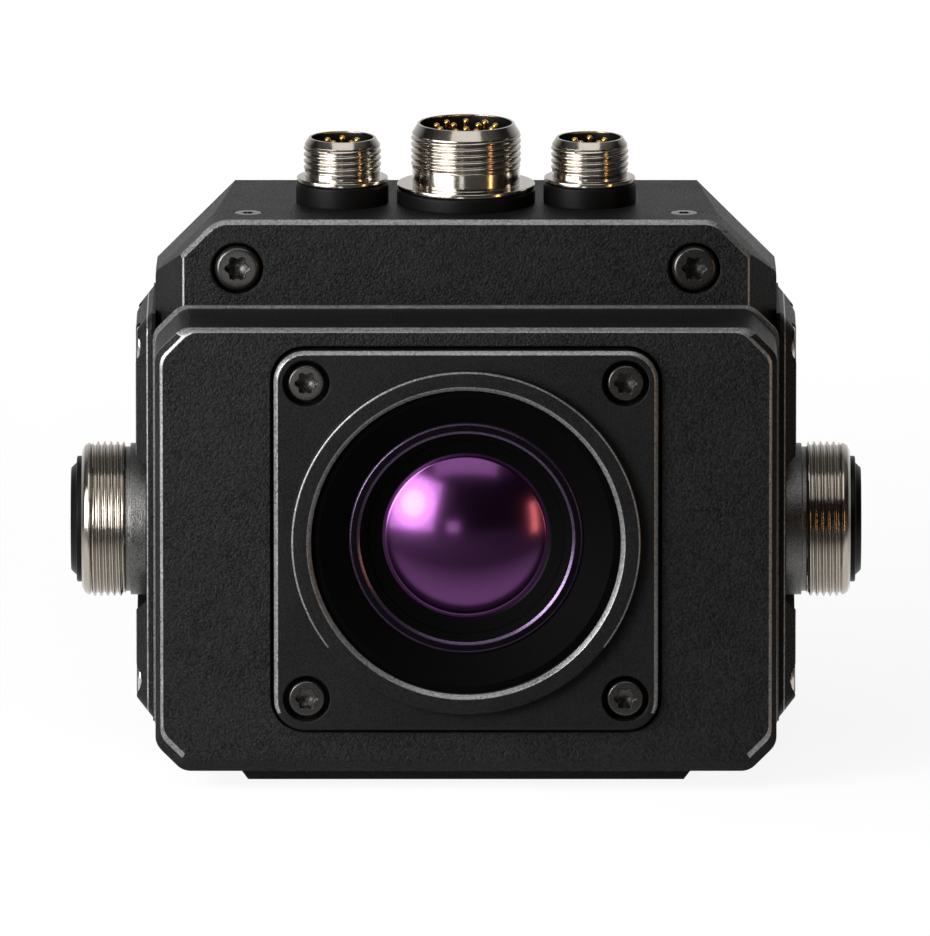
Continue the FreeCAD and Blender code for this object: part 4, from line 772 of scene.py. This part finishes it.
def make_barrel():
    shape = Shape("front", (0, BLOCK_FRONT, LENS_Z))
    rim, collar, tube, pocket = BARREL_RADIUS - 1.1, 25.1, 20, 12.05
    end, stop, cup = -26, 10.5, 15.9
    bezel = BEZEL_RADIUS + 0.05
    profile = [(rim, 1.7), (BARREL_RADIUS, 1.7), (BARREL_RADIUS, -2.7), (collar, -2.7), (collar, -4.7),
               (tube, -4.7), (tube, end), (pocket, end), (pocket, -17), (stop, -17), (stop, -15.5),
               (cup, -13), (cup, -6.2), (bezel, -6.2), (bezel, -0.9)]
    shape.lathe(rounded_loop(profile, 0.12, 3), count=FINE_TURN, closed=True)
    make("lens_barrel_piece", shape, cone_black, ["lens_barrel"])


def make_lens_ring():
    shape = Shape("front", (0, BLOCK_FRONT, LENS_Z))
    clear = DOME_CLEAR + 0.3
    face = -0.9
    edge = -1.25
    land, throat = 16.8, 16.35
    paths = [(THIRD, [(BEZEL_RADIUS, edge), (BEZEL_RADIUS - 0.3, -0.95), (BEZEL_RADIUS - 0.42, face)]),
             (MAIN, [(BEZEL_RADIUS - 0.42, face), (land, face)]),
             (THIRD, [(land, face), (16.68, -0.93), (throat, edge)]),
             (OTHER, [(throat, edge), (15.2, -1.8), (15.05, -2.05), (clear + 0.25, -2.75)]),
             (MAIN, [(clear + 0.25, -2.75), (clear + 0.06, -2.82), (clear, -2.95), (clear, LENS_SEAT)]),
             (OTHER, [(clear, LENS_SEAT), (BEZEL_RADIUS, LENS_SEAT), (BEZEL_RADIUS, edge)])]
    for mark, path in paths:
        shape.mark = mark
        shape.lathe(path, count=FINE_TURN)
    make("front_lens_ring_piece", shape, [ring_coat, cone_black, ring_edge], ["front_lens_ring"])


def make_front_lens():
    shape = Shape("front", (0, BLOCK_FRONT, LENS_Z))
    rise = math.sqrt(DOME_RADIUS ** 2 - DOME_CLEAR ** 2)
    edge = BEZEL_RADIUS - 0.05
    back = LENS_SEAT - 3
    profile = [(0, back), (edge, back), (edge, LENS_SEAT - 0.05), (DOME_CLEAR, LENS_SEAT)]
    steps = 28
    for i in range(1, steps + 1):
        r = DOME_CLEAR * (1 - i / steps)
        profile.append((r, LENS_SEAT + math.sqrt(DOME_RADIUS ** 2 - r ** 2) - rise))
    shape.lathe(profile, count=FINE_TURN)
    make("front_lens_piece", shape, lens_glass, ["front_lens"], sharp=40)


# Screws

def lobes(radius, centre):
    """A six-lobed outline."""
    result = []
    for i in range(SCREW_TURN):
        a = 2 * math.pi * i / SCREW_TURN
        r = radius * (0.875 + 0.125 * math.cos(6 * a))
        result.append((centre[0] + r * math.cos(a), centre[1] + r * math.sin(a)))
    return result


def add_screw(shape, x, y, low, size, height, reach, socket, depth, edge=0.35):
    """A round head with a softened edge and a six-lobed socket; low is the underside of the head."""
    head, shank = size
    top = low + height
    path = [(shank - 0.3, low - reach), (shank, low - reach + 0.3), (shank, low), (head, low),
            (head, top - edge), (head - edge, top), (socket + 0.25, top)]
    rings = shape.lathe([(0, low - reach)] + rounded_path(path, edge, 4), (x, y), SCREW_TURN)
    mouth = shape.ring(lobes(socket + 0.12, (x, y)), top)
    lip = shape.ring(lobes(socket, (x, y)), top - 0.12)
    floor = shape.ring(lobes(socket * 0.97, (x, y)), top - depth)
    core = shape.ring(circle(socket * 0.4, SCREW_TURN, (x, y)), top - depth - 0.1)
    tip = [shape.point(x, y, top - depth - 0.4)]
    for a, b in ((rings[-1], mouth), (mouth, lip), (lip, floor), (floor, core), (core, tip)):
        shape.bridge(a, b)


def make_screws():
    shape = Shape("front", (0, BLOCK_FRONT, LENS_Z))
    for x, z in FLANGE_SCREWS:
        add_screw(shape, x, z, FLANGE_PLATE - FLANGE_SINK, M_THREE, 3.0, 4.2, 1.75, 1.7, 0.2)
    make("flange_screw_heads", shape, oxide, ["lens_flange_screws"])
    shape = Shape("front", (0, STEP + UPPER_SINK, UPPER_Z))
    for x in (-UPPER_SCREW_X, UPPER_SCREW_X):
        add_screw(shape, x, 0, 0, M_FOUR, 4.0, 5, 1.95, 2.2, 0.5)
    make("upper_screw_heads", shape, oxide, ["upper_screws"])
    for side in ("left", "right"):
        shape = Shape(side, (0, SIDE_Y, 0))
        for y, z in SIDE_SCREWS:
            add_screw(shape, y, z, SIDE_FACE - SIDE_SINK, M_THREE, LOW_HEAD, 5, 1.5, 1.0)
        make("side_screw_heads_" + side, shape, steel, ["side_cover_screws_" + side])
    shape = Shape("rear")
    for x, z in REAR_SCREWS:
        add_screw(shape, x, z, BACK - LOW_HEAD - HEAD_CLEAR, M_THREE, LOW_HEAD, 8, 1.5, 1.0)
    make("rear_screw_heads", shape, oxide, ["rear_cover_screws"])
    shape = Shape("down", (0, 0, LOW_HEAD + HEAD_CLEAR))
    for x, y in FOOT_SCREWS:
        add_screw(shape, x, y, 0, M_THREE, LOW_HEAD, 5, 1.5, 1.0)
    make("foot_screw_heads", shape, oxide, ["foot_screws"])


# Receptacles

def groove(t):
    """Depth of a thread's groove at a share of the pitch, from 0 on the crest to 1 in the root."""
    t = t % 1.0
    rise = 0.5 + THREAD_CREST
    if t < THREAD_CREST:
        return 0.0
    if t < 0.5:
        return 0.5 - 0.5 * math.cos(math.pi * (t - THREAD_CREST) / THREAD_FLANK)
    if t < rise:
        return 1.0
    return 0.5 + 0.5 * math.cos(math.pi * (t - rise) / THREAD_FLANK)


def add_thread(shape, radius, neck, low, high, end, columns, rows, deep):
    """A helical thread from low to high whose ends run out to the radii neck and end."""
    total = int(round((high - low) / THREAD_PITCH * rows)) + rows
    grid = {}
    for j in range(columns):
        angle = 2 * math.pi * j / columns
        for i in range(-rows, total + 1):
            z = low + (i / rows + j / columns) * THREAD_PITCH
            held = min(max(z, low), high)
            r = radius - deep * groove(i / rows)
            start = min((held - low) / THREAD_LEAD, 1.0)
            stop = min((high - held) / THREAD_LEAD, 1.0)
            r = min(r, neck + (radius - neck) * start, end + (radius - end) * stop)
            grid[j, i] = shape.point(r * math.cos(angle), r * math.sin(angle), held)
    heights = [p[2] for p in shape.local]
    for j in range(columns):
        for i in range(-rows, total):
            a = grid[j, i]
            d = grid[j, i + 1]
            if j + 1 < columns:
                b, c = grid[j + 1, i], grid[j + 1, i + 1]
            elif i + 1 + rows <= total:
                b, c = grid[0, i + rows], grid[0, i + 1 + rows]
            else:
                continue
            zs = [heights[k] for k in (a, b, c, d)]
            if max(zs) - min(zs) > 1e-6:
                shape.face(a, b, c, d)


def make_top_receptacle(name, x, kind):
    origin = (x, TOP_Y, TOP)
    seal_z, rim_z, floor = kind["seal_z"], kind["rim_z"], kind["floor_z"]
    tail, core, mouth, thread = kind["tail"], kind["core"], kind["mouth"], kind["thread"]
    seal = Shape("up", origin)
    profile = [(tail + 0.05, 0), (kind["seal"], 0, 0.1), (kind["seal"], seal_z, 0.6), (tail + 0.05, seal_z)]
    seal.lathe(rounded_loop(profile, 0.05, 6), closed=True)
    make("seal_%s_piece" % name, seal, rubber, ["sealing_ring_" + name])
    shell = Shape("up", origin)
    depth = TOP_GROOVE
    flange, neck, neck_z = kind["flange"], kind["neck"], kind["neck_z"]
    thread_z, shoulder_z = kind["thread_z"], kind["shoulder_z"]
    rim = [(thread - depth, shoulder_z), (thread - 0.12, shoulder_z + 0.06, 0.05),
           (kind["rim"], rim_z, 0.1), (mouth, rim_z, 0.08), (mouth, rim_z - 0.3)]
    shell.lathe(rounded_path(rim, 0.05, 4))
    # The inside of the mouth, and the hidden faces below it, get the painted shade
    shell.mark = OTHER
    shell.lathe([(mouth, rim_z - 0.3), (mouth, floor), (core, floor), (core, TOP_END), (tail, TOP_END),
                 (tail, seal_z)])
    shell.mark = MAIN
    base = [(tail, seal_z), (flange, seal_z, 0.12), (flange, neck_z, 0.2), (neck, neck_z, 0.1),
            (neck, thread_z)]
    shell.lathe(rounded_path(base, 0.05, 4))
    add_thread(shell, thread, neck, thread_z, shoulder_z, thread - depth, 96, 10, depth)
    make("shell_%s_piece" % name, shell, [nickel, mouth_shade], ["receptacle_shell_" + name],
         sharp=50)
    insert = Shape("up", origin)
    profile = [(0, TOP_END), (core - 0.05, TOP_END), (core - 0.05, floor), (core - 0.6, floor),
               (core - 0.9, floor - 0.01), (0, floor - 0.01)]
    insert.lathe(rounded_path(profile, 0.05, 2), count=64)
    make("insert_%s_piece" % name, insert, plastic, ["contact_insert_" + name])


def add_pin(shape, x, y, radius, low, high):
    """A pin with a round end."""
    profile = [(0, low), (radius, low)]
    for k in range(5):
        a = math.pi / 2 * k / 5
        profile.append((radius * math.cos(a), high - radius + radius * math.sin(a)))
    shape.lathe(profile + [(0, high)], (x, y), 20)


def make_pins():
    for label, kind, places in (("small", SMALL, (-TOP_X, TOP_X)), ("centre", CENTRE, (0,))):
        shape = Shape("up", (0, TOP_Y, TOP))
        for x in places:
            for count, radius, first in kind["pins"]:
                for k in range(count):
                    a = math.radians(first + 360 * k / count)
                    add_pin(shape, x + radius * math.cos(a), radius * math.sin(a), PIN_RADIUS,
                            kind["floor_z"], kind["rim_z"] - 0.2)
        make(label + "_pins_piece", shape, gold, [label + "_contact_pins"],
             sharp=40)


def make_side_receptacle(side):
    origin = (SIDE_FLOOR if side == "right" else -SIDE_FLOOR, SIDE_Y, SIDE_Z)
    thread, nose, mouth, floor, face = 3.2, 8.65, 10.05, 5.05, 11.75
    tail, collar = 9.6, 2.55
    shell = Shape(side, origin)
    shell.mark = OTHER
    base = [(tail, SIDE_END), (tail, 0), (SIDE_FLANGE, 0), (SIDE_FLANGE, collar), (SIDE_NECK, collar),
            (SIDE_NECK, thread)]
    shell.lathe(rounded_path(base, 0.12, 3), count=SIDE_TURN)
    shell.mark = MAIN
    tip = [(SIDE_TIP, nose), (11.78, nose + 0.12, 0.1), (11.75, nose + 0.4, 0.3), (11.4, mouth - 0.4, 0.5),
           (10.6, mouth, 0.3), (SIDE_BORE, mouth, 0.1), (SIDE_BORE, floor), (SIDE_CORE, floor),
           (SIDE_CORE, SIDE_END), (tail, SIDE_END)]
    shell.lathe(rounded_path(tip, 0.05, 4), count=SIDE_TURN)
    add_thread(shell, SIDE_THREAD, SIDE_NECK, thread, nose, SIDE_TIP, SIDE_TURN, 12, SIDE_GROOVE)
    make("side_shell_%s_piece" % side, shell, [nickel, nickel_darker], ["side_receptacle_shell_" + side],
         sharp=50)
    insert = Shape(side, origin)
    core, rim = 8.25, 9.75
    profile = [(0, SIDE_END), (core, SIDE_END), (core, floor), (rim, floor), (rim, mouth + 0.8, 0.3),
               (8.7, mouth + 0.85, 0.1), (8.3, face - 0.4, 0.2), (7.9, face, 0.2), (7.0, face)]
    rings = insert.lathe(rounded_path(profile, 0.05, 3))
    holes = []
    spots = [(0, 0)] + circle(CONTACT_CIRCLE, 4)
    end = face - CONTACT_DEPTH
    for spot in spots:
        hole = insert.lathe([(1.1, face), (0.92, face - 0.18), (0.92, end), (0, end)], spot, 32)
        holes.append(hole[0])
    insert.plate(rings[-1], *holes)
    make("side_insert_%s_piece" % side, insert, plastic, ["side_insert_" + side])
    pins = Shape(side, origin)
    sleeve = rounded_path([(0, end), (0.9, end), (0.9, face - 0.4), (0.45, face - 0.4), (0.45, face - 2.6),
                           (0, face - 2.6)], 0.1, 2)
    for spot in spots:
        pins.lathe(sleeve, spot, 32)
    make("side_contacts_%s_piece" % side, pins, gold, ["side_contacts_" + side])


def make_plugs():
    shape = Shape("up", (0, 0, TOP))
    profile = [(0, -PLUG_DEPTH), (2.2, -PLUG_DEPTH), (2.2, -0.15), (2.05, 0), (1.3, 0)]
    for x in (-PLUG_X, PLUG_X):
        rings = shape.lathe(rounded_path(profile, 0.05, 2), (x, PLUG_Y), SCREW_TURN)
        mouth = shape.ring(lobes(1.0, (x, PLUG_Y)), 0)
        floor = shape.ring(lobes(1.0, (x, PLUG_Y)), -1.0)
        tip = [shape.point(x, PLUG_Y, -1.0)]
        for a, b in ((rings[-1], mouth), (mouth, floor), (floor, tip)):
            shape.bridge(a, b)
    make("roof_plug_pieces", shape, oxide, ["roof_plugs"])


make_housing()
make_front_block()
make_side_cover("right")
make_side_cover("left")
make_rear_cover()
make_flange()
make_barrel()
make_lens_ring()
make_front_lens()
make_screws()
for label, x, kind in TOP_RECEPTACLES:
    make_top_receptacle(label, x, kind)
make_pins()
make_side_receptacle("right")
make_side_receptacle("left")
make_plugs()
for piece in cutters:
    bpy.data.objects.remove(piece)


# Floor, light and camera

FLOOR_SIZE = 6
FLOOR_FADE = (0.06, 0.45)
FLOOR_SEEN = (0.90, 1.0)
FLOOR_NEAR = (0.030, 0.080)
FLOOR_AROUND = (0.12, 0.3)
FLOOR_BRIGHT = 0.9
FLOOR_DIM = 0.05
FLOOR_GREY = (0.12, 0.12, 0.12, 1)
FLOOR_PLAIN = (0.3, 0.3, 0.3, 1)
BACK_TURN = (0.40, 0.92)
ROOM_LEVEL = 0.03
CEILING = (0.55, 0.85)
CEILING_LEVEL = 0.3
PLAIN_LEVEL = 0.06
LIGHT_AIM = (0, -0.02, 0.045)
WARM = (1, 0.55, 0.2)
CAMERA_PLACE = (-0.000155, -3.9238, 0.8227)
CAMERA_PITCH = 78.8
SENSOR_WIDTH = 36
FOCAL_LENGTH = 995.4


def maths(tree, operation, first, second):
    """A node that joins two values, each a socket or a number, and its result."""
    node = tree.nodes.new("ShaderNodeMath")
    node.operation = operation
    for socket, value in zip(node.inputs, (first, second)):
        if isinstance(value, (int, float)):
            socket.default_value = value
        else:
            tree.links.new(value, socket)
    return node.outputs[0]


def fade(tree, value, reach, ends):
    """A value that goes from the one end to the other over a reach of the given value."""
    node = tree.nodes.new("ShaderNodeMapRange")
    node.inputs["From Min"].default_value, node.inputs["From Max"].default_value = reach
    node.inputs["To Min"].default_value, node.inputs["To Max"].default_value = ends
    tree.links.new(value, node.inputs["Value"])
    return node.outputs[0]


def choose(tree, factor, first, second):
    """The first shader where the factor is zero and the second where it is one."""
    node = tree.nodes.new("ShaderNodeMixShader")
    tree.links.new(factor, node.inputs[0])
    tree.links.new(first, node.inputs[1])
    tree.links.new(second, node.inputs[2])
    return node.outputs[0]


def levels(tree, seen, mirrored):
    """Strength of a pale surface for the camera and for mirrors or glass, and where such rays meet it."""
    path = tree.nodes.new("ShaderNodeLightPath")
    shine = maths(tree, "MAXIMUM", path.outputs["Is Glossy Ray"], path.outputs["Is Transmission Ray"])
    strength = maths(tree, "MAXIMUM", maths(tree, "MULTIPLY", path.outputs["Is Camera Ray"], seen),
                     maths(tree, "MULTIPLY", shine, mirrored))
    return strength, maths(tree, "MAXIMUM", path.outputs["Is Camera Ray"], shine)


def make_floor():
    """A white table top with the object's shadow, bright in a mirror near the object and behind it."""
    mesh = bpy.data.meshes.new("floor")
    reach = FLOOR_SIZE
    mesh.from_pydata([(-reach, -reach, 0), (reach, -reach, 0), (reach, reach, 0), (-reach, reach, 0)], [],
                     [(0, 1, 2, 3)])
    floor = bpy.data.objects.new("floor", mesh)
    scene.collection.objects.link(floor)
    material = bpy.data.materials.new("floor")
    material.use_nodes = True
    tree = material.node_tree
    tree.nodes.clear()
    out = tree.nodes.new("ShaderNodeOutputMaterial")
    place = tree.nodes.new("ShaderNodeNewGeometry")
    split = tree.nodes.new("ShaderNodeSeparateXYZ")
    tree.links.new(place.outputs["Position"], split.inputs[0])
    away = tree.nodes.new("ShaderNodeVectorMath")
    away.operation = "LENGTH"
    tree.links.new(place.outputs["Position"], away.inputs[0])
    distance = away.outputs["Value"]
    seen = fade(tree, distance, FLOOR_FADE, FLOOR_SEEN)
    front = maths(tree, "MULTIPLY", split.outputs["Y"], -1.0)
    near = fade(tree, front, FLOOR_NEAR, (FLOOR_BRIGHT, FLOOR_DIM))
    near = maths(tree, "MULTIPLY", near, fade(tree, distance, FLOOR_AROUND, (1.0, FLOOR_DIM)))
    turn = maths(tree, "DIVIDE", split.outputs["Y"], maths(tree, "ADD", distance, 0.001))
    behind = fade(tree, turn, BACK_TURN, (FLOOR_DIM, 1.0))
    strength, pick = levels(tree, seen, maths(tree, "MAXIMUM", near, behind))
    glow = tree.nodes.new("ShaderNodeEmission")
    tree.links.new(strength, glow.inputs["Strength"])
    matt = tree.nodes.new("ShaderNodeBsdfDiffuse")
    matt.inputs["Color"].default_value = FLOOR_GREY
    pale = tree.nodes.new("ShaderNodeAddShader")
    tree.links.new(matt.outputs[0], pale.inputs[0])
    tree.links.new(glow.outputs[0], pale.inputs[1])
    plain = tree.nodes.new("ShaderNodeBsdfDiffuse")
    plain.inputs["Color"].default_value = FLOOR_PLAIN
    tree.links.new(choose(tree, pick, plain.outputs[0], pale.outputs[0]), out.inputs["Surface"])
    mesh.materials.append(material)


def make_world():
    """A pale backdrop, and for mirrors a pale wall behind, a ceiling and a dim room in front."""
    world = bpy.data.worlds.new("studio")
    scene.world = world
    world.use_nodes = True
    tree = world.node_tree
    tree.nodes.clear()
    out = tree.nodes.new("ShaderNodeOutputWorld")
    way = tree.nodes.new("ShaderNodeTexCoord")
    split = tree.nodes.new("ShaderNodeSeparateXYZ")
    tree.links.new(way.outputs["Generated"], split.inputs[0])
    behind = fade(tree, split.outputs["Y"], BACK_TURN, (ROOM_LEVEL, 1.0))
    above = fade(tree, split.outputs["Z"], CEILING, (ROOM_LEVEL, CEILING_LEVEL))
    strength, pick = levels(tree, 1.0, maths(tree, "MAXIMUM", behind, above))
    pale = tree.nodes.new("ShaderNodeBackground")
    tree.links.new(strength, pale.inputs["Strength"])
    dim = tree.nodes.new("ShaderNodeBackground")
    dim.inputs["Strength"].default_value = PLAIN_LEVEL
    tree.links.new(choose(tree, pick, dim.outputs[0], pale.outputs[0]), out.inputs["Surface"])


def add_light(name, spot, width, height, power, colour=(1, 1, 1), shape="RECTANGLE"):
    """A flat lamp that is turned towards the object."""
    data = bpy.data.lights.new(name, "AREA")
    data.shape = shape
    data.size = width
    data.size_y = height
    data.energy = power
    data.color = colour
    lamp = bpy.data.objects.new(name, data)
    scene.collection.objects.link(lamp)
    lamp.location = spot
    lamp.rotation_euler = (Vector(LIGHT_AIM) - Vector(spot)).to_track_quat("-Z", "Y").to_euler()


make_floor()
make_world()
add_light("top_light", (0.0, -0.30, 0.62), 0.60, 0.50, 1.25)
add_light("left_light", (-0.27, -0.225, 0.14), 0.36, 0.27, 1.45)
add_light("left_glow", (-0.20, -0.215, 0.12), 0.20, 0.20, 0.40, shape="ELLIPSE")
add_light("left_spot", (-0.19, -0.205, 0.115), 0.10, 0.10, 0.22, shape="ELLIPSE")
add_light("right_light", (0.27, -0.19, 0.05), 0.03, 0.14, 0.10, WARM)
add_light("front_card", (-0.034, -0.20, 0.04), 0.032, 0.028, 0.0065)

camera_data = bpy.data.cameras.new("camera")
camera_data.sensor_width = SENSOR_WIDTH
camera_data.lens = FOCAL_LENGTH
camera_data.clip_start = 0.1
camera_data.clip_end = 30
camera = bpy.data.objects.new("camera", camera_data)
scene.collection.objects.link(camera)
camera.location = CAMERA_PLACE
camera.rotation_euler = (math.radians(CAMERA_PITCH), 0, 0)
scene.camera = camera
scene.view_settings.view_transform = "Standard"
